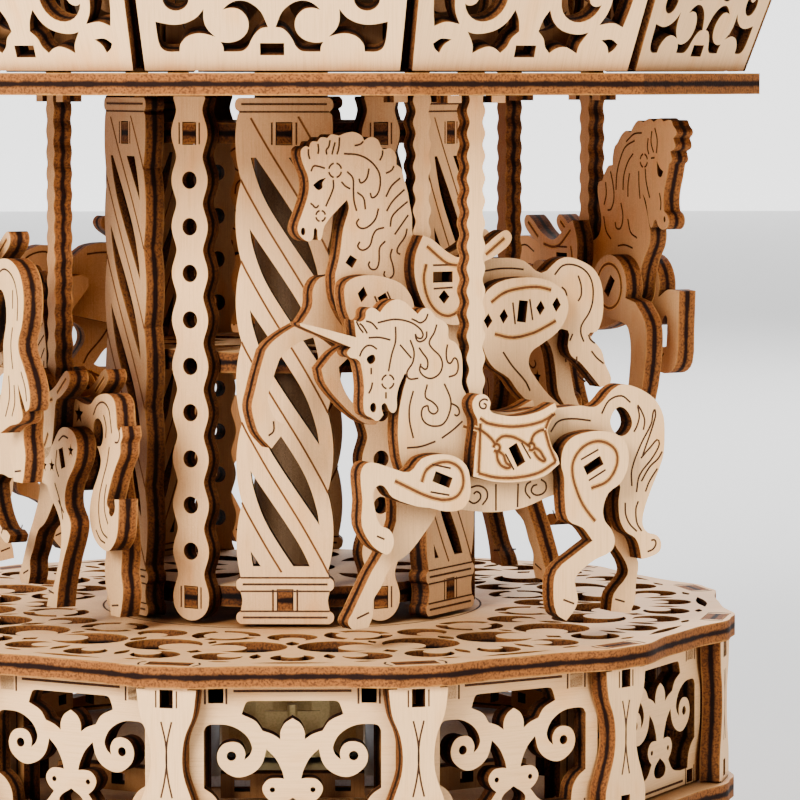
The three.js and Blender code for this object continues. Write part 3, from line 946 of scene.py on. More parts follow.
@dataclass
class Drum:
    """The still part: base plate, fretted panels, pilasters and deck."""

    shop: Workshop
    body: str = "base"
    foot_ring: float = 54.0
    foot_radius: float = 6.0
    foot_layers: int = 3
    base_bore: float = 4.0
    deck_bore: float = 5.8
    seam_ring: float = 28.4  # line on the deck round the turning part
    post_ring: float = 54.5
    rail_ring: float = 47.5

    def build(self) -> None:
        """Adds every piece of the drum."""
        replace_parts(self._deck(), "deck")
        plate = Sheet(self.edge(), self._slots(self.base_bore), upright=False)
        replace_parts(self.shop.put("base_sheet", plate, lying(BASE_TOP - PLY / 2), self.body), "base_plate")
        self._feet()
        for i in range(SIDES):
            place = standing(STEP * i, PANEL_FACE - PLY / 2, DECK_BOTTOM)
            panel = self.shop.put(f"fret_panel_{i + 1}", self._panel(), place, self.body)
            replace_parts(panel, f"drum_panel_{i + 1}")
            place = standing(STEP * (i + 0.5), PILASTER_FACE - PLY / 2, BASE_TOP)
            post = self.shop.put(f"vase_post_{i + 1}", self._pilaster(), place, self.body)
            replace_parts(post, f"pilaster_{i + 1}")
        self._inside()

    def _feet(self) -> None:
        """Four feet of stacked discs, the lowest a little smaller."""
        for i in range(4):
            x, y = polar(self.foot_ring, 45 + 90 * i)
            for layer in range(self.foot_layers):
                place = Matrix.Translation((x, y, PLY * (layer + 0.5)))
                disc = Sheet(circle(0, 0, self.foot_radius - 0.5 * (layer == 0), 32))
                self.shop.put(f"foot_{i + 1}_{layer + 1}", disc, place, self.body)

    @staticmethod
    def edge() -> Loop:
        """The deck's wavy twelve-sided edge."""
        rise = [(5, 64.7), (8, 65.5), (10.3, 66.4), (12.4, 66.9)]
        wave = [(0, 64.5), *rise, (15, 66.7), (17.6, 66.9), (19.7, 66.4), (22, 65.5), (25, 64.7)]
        return smooth([polar(r, STEP * i + a) for i in range(SIDES) for a, r in wave], steps=3)

    @staticmethod
    def _slots(bore: float) -> list[Loop]:
        """Slots for the pilasters' tenons and a round bore.

        Args:
            bore: the bore's radius.

        Returns:
            The openings.
        """
        radius = PILASTER_FACE - PLY / 2
        corners = [STEP * (i + 0.5) for i in range(SIDES)]
        return [*(rectangle(*polar(radius, a), 6.3, PLY + GAP, a) for a in corners), circle(0, 0, bore)]

    def _deck(self) -> bpy.types.Object:
        """The deck, fretted all round.

        Returns:
            The piece.
        """
        holes = self._slots(self.deck_bore)
        lines: list[Line] = []
        corner_mark = ((62.8, 3.4), (64.4, 3.8), (66.2, 3.3))
        for i in range(SIDES):
            azimuth = STEP * i
            holes += [swung(hole, azimuth) for hole in self._lace()]
            for side in (-1, 1):
                lines += cuts([[polar(r, azimuth + 15 + side * a) for r, a in corner_mark]], 0.3)
        lines.append(Line([polar(self.seam_ring, a) for a in range(0, 361, 5)], 0.3))
        deck = Sheet(self.edge(), holes, lines, upright=False)
        return self.shop.put("deck_sheet", deck, lying((DECK_BOTTOM + DECK_TOP) / 2), self.body)

    @staticmethod
    def _lace() -> list[Loop]:
        """Openings of one sector of the deck about the front.

        Returns:
            The openings.
        """
        holes = [crescent(*polar(57.2, 0), 3.1, 1.6, 90), crescent(*polar(37, 0), 3.6, 1.9, -90)]
        holes += [leaf(*polar(61.8, 0), 11.5, 1.4), leaf(*polar(43.4, 0), 4.2, 1.8, 90)]
        for side in (-1, 1):
            holes.append(crescent(*polar(47, side * 7.5), 5.5, 3.0, -90 + side * 75))
            holes.append(crescent(*polar(56.5, side * 10.5), 3.5, 1.9, 90 + side * 60))
            holes.append(leaf(*polar(56, side * 5.2), 4.8, 1.5, 90 + side * 5))
            holes.append(leaf(*polar(61.2, side * 9.3), 3.4, 1.0, side * 9))
        ring = polar(36.2, 15)
        for start in (20, 140, 260):
            holes.append(arc(*ring, 4.9, start, start + 104, 12) + arc(*ring, 3.2, start + 104, start, 12))
        holes.append(leaf(*polar(43.2, 15), 3, 1.1, 105))
        holes.append(diamond(*polar(52.4, 15), 2.4, 3.2, 15))
        return holes

    def _panel(self) -> Sheet:
        """A drum panel: a fleur with scrolls in a round-cornered opening, measured down from the deck.

        Returns:
            The panel.
        """
        middle = -DRUM_HEIGHT / 2
        crown = smooth([
            (0, -4.7, CUSP), (-1.05, -5.4), (-1.62, -6.5), (-1.65, -7.6, CUSP), (-2.7, -6.9),
            (-4.1, -6.4, CUSP), (-5.0, -5.1), (-6.9, -4.15, CUSP), (-6.6, -3.2), (-6.2, -2.45),
            (-5.5, -2.3, CUSP), (0, -2.3, CUSP),
        ], steps=4)
        top = crown + [p for p in reversed(mirrored(crown))][1:-1]
        side = smooth([
            (-12.04, -6.4, CUSP), (-11.6, -5.7), (-10.6, -5.5), (-8.4, -5.7), (-6.4, -6.9), (-5.5, -8.6),
            (-5.8, -9.7), (-6.55, -10.4, CUSP), (-6.45, -9.3), (-7.1, -8.2), (-8.3, -7.9), (-9.6, -8.4),
            (-10.25, -9.9), (-9.7, -11.5), (-7.7, -12.75), (-5.6, -12.3), (-4.2, -11.0), (-3.55, -8.9, CUSP),
            (-2.3, -10.2), (-1.4, -12.0), (-1.15, -13.0, CUSP), (-2.0, -12.9), (-3.3, -13.1), (-4.1, -14.2),
            (-3.7, -15.4), (-2.8, -16.2, CUSP), (-4.4, -17.9), (-7.0, -18.5, CUSP), (-9.6, -18.5, CUSP),
            (-9.9, -16.6), (-10.8, -15.2), (-12.04, -14.3, CUSP),
        ], steps=4)
        low = smooth([
            (0, -18.6, CUSP), (-1.6, -18.2), (-1.9, -17.0), (0, -15.6, CUSP), (1.9, -17.0), (1.6, -18.2),
        ], steps=4)
        eyes = [circle(-8.3, -9.85, 0.66, 14), circle(-2.75, -14.5, 0.38, 10)]
        slots = [rectangle(-10.4, -1.36, 2.1, 2.5), rectangle(-10.4, 2 * middle + 1.36, 2.1, 1.9)]
        rails = [[(-8, -0.95), (8, -0.95)], [(-8, 2 * middle + 0.95), (8, 2 * middle + 0.95)]]
        marks = [
            [(x, y - 1.25), (x, y + 1.25)]
            for y in (-1.5, 2 * middle + 1.5) for x in (-11.85, -8.95, 8.95, 11.85)
        ]
        rim = rectangle(0, middle, 28, DRUM_HEIGHT - 0.6)
        return Sheet(
            rim, [top, low, *both([side, *eyes, *slots])], cuts(rails, 0.34) + cuts(marks, 0.26),
            upright=False,
        )

    def _pilaster(self) -> Sheet:
        """A vase-sided post with a tenon at each end, measured up from the base plate.

        Returns:
            The post.
        """
        low, high = GAP, DRUM_HEIGHT - GAP
        height = high - low
        side: Loop = [(4.2, low, CUSP), (4.2, low + 3.4), (3.55, low + 5.4), (2.45, low + height * 0.42)]
        side += [(2.2, low + height * 0.55), (2.6, high - 6.4), (3.7, high - 3.6), (4.2, high, CUSP)]
        right = [
            (3.0, -PLY + GAP), (3.0, low), *smooth(side, closed=False, steps=4), (3.0, high),
            (3.0, DRUM_HEIGHT + PLY),
        ]
        loop = right + list(reversed(mirrored(right)))
        slots = [rectangle(0, y, 1.9, 2.5) for y in (high - 1.3, low + 1.5)]
        strand = ((0.75, 4.4), (0.12, 7.2), (-0.02, 10), (0.3, 12.6), (0.8, 14.8))
        cross = [[(s * x, high - drop) for x, drop in strand] for s in (-1, 1)]
        marks = [[(s * 1.45, high - 2.5), (s * 1.45, high - 0.2)] for s in (-1, 1)]
        return Sheet(loop, slots, cuts(cross, 0.24) + cuts(marks, 0.2))

    def _inside(self) -> None:
        """Posts and cross pieces behind the panels."""
        marks = [[(x, 3), (x, 18)] for x in (-1.2, 1.2)]
        post = Sheet(rectangle(0, DRUM_HEIGHT / 2, 5.2, DRUM_HEIGHT - 2 * GAP), lines=cuts(marks))
        for i in range(SIDES):
            place = standing(STEP * (i + 0.5), self.post_ring, BASE_TOP)
            self.shop.put(f"inner_post_{i + 1}", post, place, self.body)
        rail = Sheet(rectangle(0, 0, 20, 3.4), [rectangle(x, 0, 2.2, 1.6) for x in (-7, 0, 7)])
        for i in range(SIDES):
            place = standing(STEP * i, self.rail_ring, BASE_TOP + 5)
            self.shop.put(f"inner_rail_{i + 1}", rail, place, self.body)


# --- the cage ---


@dataclass
class Cage:
    """Columns and discs, which turn."""

    shop: Workshop
    body: str = "carousel"
    twist: float = 11.57  # height of one turn of the barley twist
    lower: float = 4.0  # heights of the discs over the deck
    middle: float = 38.0
    upper: float = CAGE_HEIGHT - 5.6
    pitch: float = 6.7  # from one round hole of a narrow column to the next

    def build(self) -> None:
        """Adds the columns and the discs."""
        for i in range(SIDES):
            kind, word, sheet = (
                "narrow", "chain", self._narrow(),
            ) if i % 2 else ("wide", "twist", self._wide())
            place = standing(STEP * i + CAGE_TURN, COLUMN_FACE - PLY / 2, DECK_TOP)
            column = self.shop.put(f"{kind}_{word}_{i // 2 + 1}", sheet, place, self.body)
            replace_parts(column, f"{kind}_column_{i // 2 + 1}")
        for name, z in (("lower_disc", self.lower), ("middle_disc", self.middle), ("upper_disc", self.upper)):
            tenons = name != "middle_disc"
            piece = self.shop.put(
                name + "_sheet", self._disc(tenons), REST_TURN @ lying(DECK_TOP + z), self.body,
            )
            if tenons:
                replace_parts(piece, name)

    def _tenon_slots(self, reach: float, half: float, width: float) -> tuple[list[Loop], list[Line]]:
        """The two discs' tenon slots in a column, with a mark on each side of each slot.

        Args:
            reach: from the column's middle to a mark.
            half: half the height of a mark.
            width: the marks' width.

        Returns:
            The slots and the marks.
        """
        heights = (self.lower, self.upper)
        marks = [[(s * reach, z - half), (s * reach, z + half)] for s in (-1, 1) for z in heights]
        return [rectangle(0, z, 2.4, PLY + GAP) for z in heights], cuts(marks, width)

    def _wide(self) -> Sheet:
        """A barley-twist column with a square base, measured up from the deck.

        Returns:
            The column.
        """
        low, high = 0.6, CAGE_HEIGHT - GAP
        first = 8.1  # the lowest notch on the right; those on the left are 1.65 lower
        right: Loop = [(6.4, low, CUSP), (6.95, low + 0.5), (6.95, 2.0), (6.4, 2.45, CUSP), (6.15, 4.0)]
        right += [(6.4, 5.3, CUSP), (6.95, 5.8), (6.95, 6.8), (6.4, 7.3, CUSP)]
        shaft_low, shaft_high = 7.3, high - 2.2
        crown: Loop = [
            (6.4, shaft_high, CUSP), (6.95, shaft_high + 0.5), (6.95, high - 0.7), (6.5, high - 0.2, CUSP),
        ]

        def flank(start: float) -> Loop:
            """One side of the shaft, with its notches from a height on."""
            points = []
            z = shaft_low + 0.1
            while z < shaft_high - 0.1:
                phase = ((z - start) / self.twist) % 1.0
                points.append((6.05 + 0.9 * abs(math.sin(math.pi * phase)) ** 0.75, z))
                z += self.twist / 18
            return points

        base, cap = smooth(right, closed=False, steps=3), smooth(crown, closed=False, steps=3)
        left_side = mirrored(base + flank(first - 1.65) + cap)
        outline = base + flank(first) + cap + list(reversed(left_side))
        half_slit: Loop = [(-4.95, 9.7, CUSP), (-4.62, 7.6), (-3.55, 4.1), (-2.3, 1.4), (-0.5, -1.55)]
        half_slit += [(1.35, -4.35), (3.55, -7.6)]
        slit = half_slit + [(-p[0], -p[1], *p[2:]) for p in half_slit]
        groove = [(-6.2, 10.9), (-5.3, 9.1), (-2.5, 4.1), (0, 0), (2.5, -4.1), (5.3, -9.1), (6.2, -10.9)]
        holes, lines = [], []
        for k in range(-2, 5):
            opening = clipped(moved(smooth(slit), 0, 24.6 + self.twist * k), 8.95, 67.6)
            if len(opening) > 3:
                holes.append(opening)
        for k in range(-1, 6):
            route = moved(smooth(groove, closed=False), 0, 18.85 + self.twist * k)
            route = clipped_line(route, shaft_low, shaft_high)
            if len(route) > 2:
                lines.append(Line(route, 0.28, Finish.BURN))
        slots, marks = self._tenon_slots(1.75, 1.6, 0.24)
        holes += slots
        lines += marks
        for z in (1.55, 6.35, shaft_high + 1.1):
            lines += cuts([[(-6.1, z), (6.1, z)]], 0.3)
        for z in (2.45, 5.35, 7.3, shaft_high):
            lines += cuts([[(-6.4, z), (6.4, z)]], 0.24)
        return Sheet(outline, holes, lines)

    def _narrow(self) -> Sheet:
        """A scalloped column with a row of round holes, measured up from the deck.

        Returns:
            The column.
        """
        first = self.lower
        side: Loop = []
        z = first
        while z < CAGE_HEIGHT - GAP:
            wave = 0.5 + 0.5 * math.cos(2 * math.pi * (z - first) / self.pitch)
            side.append((2.25 + 0.85 * wave**0.8, z))
            z += self.pitch / 16
        side.append((2.6, CAGE_HEIGHT - GAP))
        outline = side + list(reversed(mirrored(side))) + arc(0, 3.7, 3.1, 180, 360, 14)[1:-1]
        holes = [circle(0, first + self.pitch * k, 1.27, 20) for k in range(1, 10)]
        slots, marks = self._tenon_slots(1.72, 1.55, 0.22)
        return Sheet(outline, holes + slots, marks)

    @staticmethod
    def _disc(tenons: bool) -> Sheet:
        """A disc that ties the columns, with a tenon through each of them.

        Args:
            tenons: whether it has the tenons.

        Returns:
            The disc.
        """
        radius = COLUMN_FACE - PLY - GAP
        tenon = 1.05  # half a tenon's width
        half = math.degrees(tenon / radius)
        rim: Loop = []
        for i in range(SIDES):
            azimuth = STEP * i
            if tenons:
                tip = moved([(-tenon, -COLUMN_FACE), (tenon, -COLUMN_FACE)], 0, 0, azimuth)
                rim += [polar(radius, azimuth - half), *tip, polar(radius, azimuth + half)]
            rim += [polar(radius, azimuth + s) for s in (7, 11, 15, 19, 23)]
        holes = [circle(0, 0, POST_CLEAR)]
        holes += [leaf(*polar(15.5, STEP * i + 15), 11, 4.6, STEP * i + 105) for i in range(SIDES)]
        return Sheet(rim, holes, upright=False)


# --- canopy, fascia and roof ---


@dataclass
class Canopy:
    """The canopy plate, the leaning fascia and the roof with its crown and finial."""

    shop: Workshop
    body: str = "carousel"
    overhang: float = 1.4  # of the plate's corners past the fascia's foot
    wall_ply: float = 2.4
    leaf_ply: float = 2.0
    rib_depth: float = 3.4
    vane_ply: float = 1.6

    def build(self) -> None:
        """Adds every piece above the columns."""
        place = REST_TURN @ lying((CANOPY_BOTTOM + CANOPY_TOP) / 2)
        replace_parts(self.shop.put("canopy_sheet", self._plate(), place, self.body), "canopy_plate")
        foot = (CANOPY_RADIUS - 0.5) * math.cos(math.pi / SIDES) - PLY / 2 / math.cos(
            math.radians(FASCIA_LEAN)
        )
        for i in range(SIDES):
            sheet = self._fascia_a() if i % 2 == 0 else self._fascia_b()
            place = standing(STEP * i + CAGE_TURN, foot, CANOPY_TOP + 0.8, FASCIA_LEAN)
            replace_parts(self.shop.put(f"fascia_{i + 1}", sheet, place, self.body), "fascia")
        self._roof()
        self._guides()

    def _plate(self) -> Sheet:
        """The canopy: twelve sides, the poles' slots and a ring of leaf openings.

        Returns:
            The plate.
        """
        rim = [polar(CANOPY_RADIUS + self.overhang, STEP * (i + 0.5)) for i in range(SIDES)]
        holes = [circle(0, 0, POST_CLEAR, 32)]
        for i in range(4):
            azimuth = PAIR_AZIMUTH + 90 * i
            for ring in (OUTER_RING, INNER_RING):
                holes.append(rectangle(*polar(ring, azimuth), 3.6, PLY + 0.7, azimuth))
        holes += [leaf(*polar(46, STEP * i + 15), 17, 4.4, STEP * i + 105) for i in range(SIDES)]
        holes += [leaf(*polar(17.5, STEP * i), 10, 3.4, STEP * i + 90) for i in range(SIDES)]
        return Sheet(rim, holes, upright=False)

    @staticmethod
    def _frame() -> Loop:
        """Outline of a fascia panel, wider at the top, measured up from its foot."""
        grow = math.sin(math.radians(FASCIA_LEAN)) * math.tan(math.pi / SIDES) * FASCIA_SLOPE
        return [(-16.9, 0), (16.9, 0), (16.9 + grow, FASCIA_SLOPE - 0.6), (-16.9 - grow, FASCIA_SLOPE - 0.6)]

    def _fascia_a(self) -> Sheet:
        """Fascia panel with two C-scrolls about a small dome.

        Returns:
            The panel.
        """
        inner = smooth([
            (-0.49, 6.07, CUSP), (-1.36, 5.91), (-2.15, 5.22), (-2.73, 4.3), (-3.16, 3.38), (-3.8, 2.8),
            (-4.6, 2.66), (-6.4, 2.66, CUSP), (-6.48, 3.38), (-6.8, 4.02, CUSP), (-5.6, 3.93), (-4.1, 4.45),
            (-3.15, 5.7), (-3.2, 7.3), (-4.2, 8.5), (-5.4, 8.75), (-6.45, 8.5, CUSP), (-5.6, 9.3),
            (-4.4, 9.78), (-2.9, 9.5), (-1.4, 8.2),
        ], steps=4)
        outer = smooth([
            (-15.35, 6.84, CUSP), (-15.2, 5.3), (-15.0, 4.0), (-14.6, 3.1), (-13.8, 2.66),
            (-12.25, 2.66, CUSP), (-12.1, 3.7), (-11.2, 4.75), (-9.9, 5.2), (-8.7, 5.1), (-7.5, 4.73, CUSP),
            (-8.5, 5.8), (-8.95, 7.0), (-8.96, 8.6, CUSP), (-9.9, 7.45), (-11.4, 6.65), (-13.1, 6.42),
        ], steps=4)
        axis = 10.1
        eye = crescent(-12.6, axis, 1.75, 0.85, 90)
        halves = [inner, outer, flipped(inner, axis), flipped(outer, axis), eye]
        return Sheet(self._frame(), [*both(halves), rectangle(0, 3.0, 3.2, 1.7)])

    def _fascia_b(self) -> Sheet:
        """Fascia panel with two ring scrolls, each about a round dot.

        Returns:
            The panel.
        """
        under = smooth([
            (-2.7, 8.64, CUSP), (-1.9, 7.2), (-1.5, 5.58, CUSP), (-2.5, 4.6), (-3.0, 3.4), (-3.85, 2.5, CUSP),
            (-4.8, 3.15), (-5.9, 3.4), (-7.0, 3.1), (-8.2, 2.47, CUSP), (-8.4, 3.7), (-9.5, 5.5, CUSP),
            (-8.2, 5.2), (-6.5, 5.35), (-4.9, 5.9), (-3.6, 7.0),
        ], steps=4)
        side = smooth([
            (-15.6, 10.2, CUSP), (-15.3, 8.4), (-14.8, 6.25, CUSP), (-13.1, 6.85), (-10.95, 6.55, CUSP),
            (-11.9, 8.2), (-12.3, 10.2), (-11.9, 12.2), (-10.95, 13.85, CUSP), (-13.1, 13.55),
            (-14.9, 14.15, CUSP), (-15.4, 12.0),
        ], steps=4)
        nick = smooth([
            (-14.5, 3.8, CUSP), (-13.4, 4.5), (-11.75, 4.4, CUSP), (-12.8, 3.6), (-13.3, 2.5, CUSP),
            (-14.1, 3.1),
        ], steps=4)
        ring = crescent(-7.5, 10.2, 3.3, 1.25, 175)
        halves = [under, side, nick, ring, flipped(under, 10.2), flipped(nick, 10.2)]
        return Sheet(self._frame(), [*both(halves), rectangle(0, 2.75, 3.2, 1.7)])

    def _guides(self) -> None:
        """Small guides under the canopy beside each pole."""
        for i in range(4):
            azimuth = PAIR_AZIMUTH + 90 * i + CAGE_TURN
            for ring, label in ((OUTER_RING, "outer"), (INNER_RING, "inner")):
                for side, letter in ((-1, "a"), (1, "b")):
                    tab = Sheet(rectangle(side * 3.5, -0.6, 2.2, 1.0))
                    place = standing(azimuth, ring, CANOPY_BOTTOM)
                    self.shop.put(f"guide_{label}_{i + 1}_{letter}", tab, place, self.body)

    @staticmethod
    def ogee() -> Loop:
        """The roof's profile from the top of its upright wall to the crown: [radius, height over the canopy].

        Returns:
            The profile's points.
        """
        run, rise = ROOF_RADIUS - CROWN_RADIUS, ROOF_HEIGHT - ROOF_DRUM
        shares = [(0, 0), (0.07, 0.15), (0.23, 0.29), (0.44, 0.4), (0.68, 0.54), (0.88, 0.74), (1, 1)]
        return smooth(
            [(ROOF_RADIUS - run * a, ROOF_DRUM + rise * b) for a, b in shares], closed=False, steps=6,
        )

    def _roof(self) -> None:
        """Upright wall panels, curved leaves, ribs, crown and finial."""
        low = CANOPY_TOP + GAP
        profile = self.ogee()
        shrink = math.cos(math.pi / SIDES)
        wall_half = ROOF_RADIUS * math.sin(math.pi / SIDES) - 1.9
        wall_holes = [
            *both([crescent(-6.4, 10, 4.6, 2.2, 180), leaf(-12, 10, 9, 2.4, 90)]), leaf(0, 10, 12, 2.6, 90),
        ]
        wall_rim = rectangle(0, ROOF_DRUM / 2, 2 * wall_half, ROOF_DRUM - 0.6)
        wall = Sheet(wall_rim, wall_holes, thickness=self.wall_ply)
        for i in range(SIDES):
            place = standing(STEP * i + CAGE_TURN, ROOF_RADIUS * shrink - 1.6, low)
            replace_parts(self.shop.put(f"roof_wall_{i + 1}", wall, place, self.body), "roof")
        leaf_sheet, bend = self._leaf(profile, shrink, low)
        for i in range(SIDES):
            place = Matrix.Rotation(math.radians(STEP * i + CAGE_TURN), 4, "Z")
            self.shop.put(f"roof_leaf_{i + 1}", leaf_sheet, place, self.body, bend)
        rib = self._rib(profile, low)
        for i in range(SIDES):
            self.shop.put(f"roof_rib_{i + 1}", rib, radial(STEP * (i + 0.5) + CAGE_TURN), self.body)
        self._top(low)

    def _top(self, low: float) -> None:
        """The crown sheet and the finial's three crossed vanes.

        Args:
            low: height of the roof's foot.
        """
        rim = smooth([polar(CROWN_RADIUS - (0.9 if k % 2 else -0.4), 15 * k) for k in range(24)], steps=4)
        crown_holes = [leaf(*polar(8.6, STEP * i), 5, 1.8, STEP * i + 90) for i in range(SIDES)]
        crown = Sheet(rim, crown_holes, upright=False)
        self.shop.put("crown_sheet", crown, REST_TURN @ lying(low + ROOF_HEIGHT + PLY / 2), self.body)
        tall = FINIAL_TOP - FINIAL_LOW
        shape = [
            (0, 0), (1, 0), (1, 0.12), (0.35, 0.18), (0.35, 0.28), (0.8, 0.42), (0.8, 0.56), (0.3, 0.72),
            (0, 1),
        ]
        for k in range(3):
            vane = [(5.0 * r, tall * z) for r, z in shape[1:-1]]
            outline = [*vane, (0.3, tall), (-0.3, tall), *reversed(mirrored(vane))]
            sheet = Sheet(smooth(outline, steps=3), thickness=self.vane_ply)
            piece = self.shop.put(f"finial_vane_{k + 1}", sheet, standing(60 * k, 0, FINIAL_LOW), self.body)
            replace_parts(piece, "finial")

    def _leaf(
        self, profile: Loop, shrink: float, low: float,
    ) -> tuple[Sheet, Callable[[bpy.types.Mesh], None]]:
        """A roof leaf as a flat sheet, and the bend that lays it on the ogee.

        Args:
            profile: the roof's profile.
            shrink: radius at a side against that at a corner.
            low: height of the roof's foot.

        Returns:
            The flat leaf and its bend.
        """
        lengths = [0.0]
        for a, b in zip(profile, profile[1:]):
            lengths.append(lengths[-1] + math.dist(a, b))
        total = lengths[-1]

        def station(s: float) -> tuple[Vector, Vector]:
            """The profile's point at a length along it, and the way out of the roof there."""
            s = max(0.0, min(total, s))
            k = max(i for i, v in enumerate(lengths[:-1]) if v <= s)
            a, b = Vector(profile[k]), Vector(profile[k + 1])
            t = (s - lengths[k]) / (lengths[k + 1] - lengths[k])
            along = (b - a).normalized()
            return a.lerp(b, t), Vector((along.y, -along.x))

        def half(s: float) -> float:
            """Half the leaf's width at a length along it."""
            return station(s)[0].x * math.sin(math.pi / SIDES) - 1.7

        edge = [(half(total * k / 24), 0.4 + (total - 0.8) * k / 24) for k in range(25)]
        outline = edge + list(reversed(mirrored(edge)))
        holes = [leaf(0, total * 0.5, total * 0.34, 5.6, 90), leaf(0, total * 0.84, total * 0.16, 2.4, 90)]
        moon, blade = crescent(-6.2, total * 0.16, 3.6, 1.9, 180), leaf(-5.3, total * 0.42, 11, 2.0, 97)
        holes += both([moon, blade, circle(-2.9, total * 0.73, 0.9, 16)])
        lines = cuts(both([[(half(total * k / 12) - 1.1, total * k / 12) for k in range(1, 11)]]), 0.3)

        def bend(mesh: bpy.types.Mesh) -> None:
            """Cuts the flat leaf across and lays it on the profile."""
            work = bmesh.new()
            work.from_mesh(mesh)
            for k in range(1, 40):
                whole = work.verts[:] + work.edges[:] + work.faces[:]
                bmesh.ops.bisect_plane(
                    work, geom=whole, plane_co=(0, total * k / 40, 0), plane_no=(0, 1, 0), dist=1e-5,
                )
            for vert in work.verts:
                place, out = station(vert.co.y)
                radius = place.x * shrink + out.x * (vert.co.z - 1.3)
                vert.co = (vert.co.x, -radius, low + place.y + out.y * (vert.co.z - 1.3))
            work.to_mesh(mesh)
            work.free()

        return Sheet(outline, holes, lines, thickness=self.leaf_ply), bend

    def _rib(self, profile: Loop, low: float) -> Sheet:
        """A rib under the joint of two leaves: [distance from the axis, height].

        Args:
            profile: the roof's profile.
            low: height of the roof's foot.

        Returns:
            The rib.
        """
        outer = [(ROOF_RADIUS, low)] + [(r, low + z) for r, z in profile]
        inner = []
        for i, (r, z) in enumerate(outer):
            a, b = Vector(outer[max(i - 1, 0)]), Vector(outer[min(i + 1, len(outer) - 1)])
            along = (b - a).normalized()
            inner.append((r - self.rib_depth * along.y, z + self.rib_depth * along.x))
        return Sheet(outer + list(reversed(inner)), thickness=self.wall_ply)


# --- figures ---


class Kind(Enum):
    """The four sorts of horse."""

    UNICORN = "unicorn"
    DIAMOND = "diamond"
    STAR = "star"
    PLUMED = "plumed"


class Layer(Enum):
    """Which side of the trunk a sheet lies on."""

    NEAR = 1
    TRUNK = 0
    FAR = -1


SIDE_WORDS: dict[Layer, str] = {Layer.NEAR: "near_", Layer.TRUNK: "", Layer.FAR: "far_"}


@dataclass(frozen=True)
class Cut:
    """A sheet of a horse: points run [forward, height over the deck] with the horse at its lowest.

    Attributes:
        name: what it is.
        layer: which side it lies on.
        outline: its edge.
        holes: openings.
        cuts: thin lines.
        burns: wide burnt lines.
    """

    name: str
    layer: Layer
    outline: Loop
    holes: tuple[Loop, ...] = ()
    cuts: tuple[Loop, ...] = ()
    burns: tuple[Loop, ...] = ()

    def on(self, layer: Layer, name: str) -> "Cut":
        """The same sheet on another layer."""
        return Cut(name, layer, self.outline, self.holes, self.cuts, self.burns)


def dashed(x: float, y: float, radius: float) -> tuple[Loop, ...]:
    """A circle cut as four arcs with bridges between them."""
    return tuple(arc(x, y, radius, 90 * k + 12, 90 * k + 78, 6) for k in range(4))


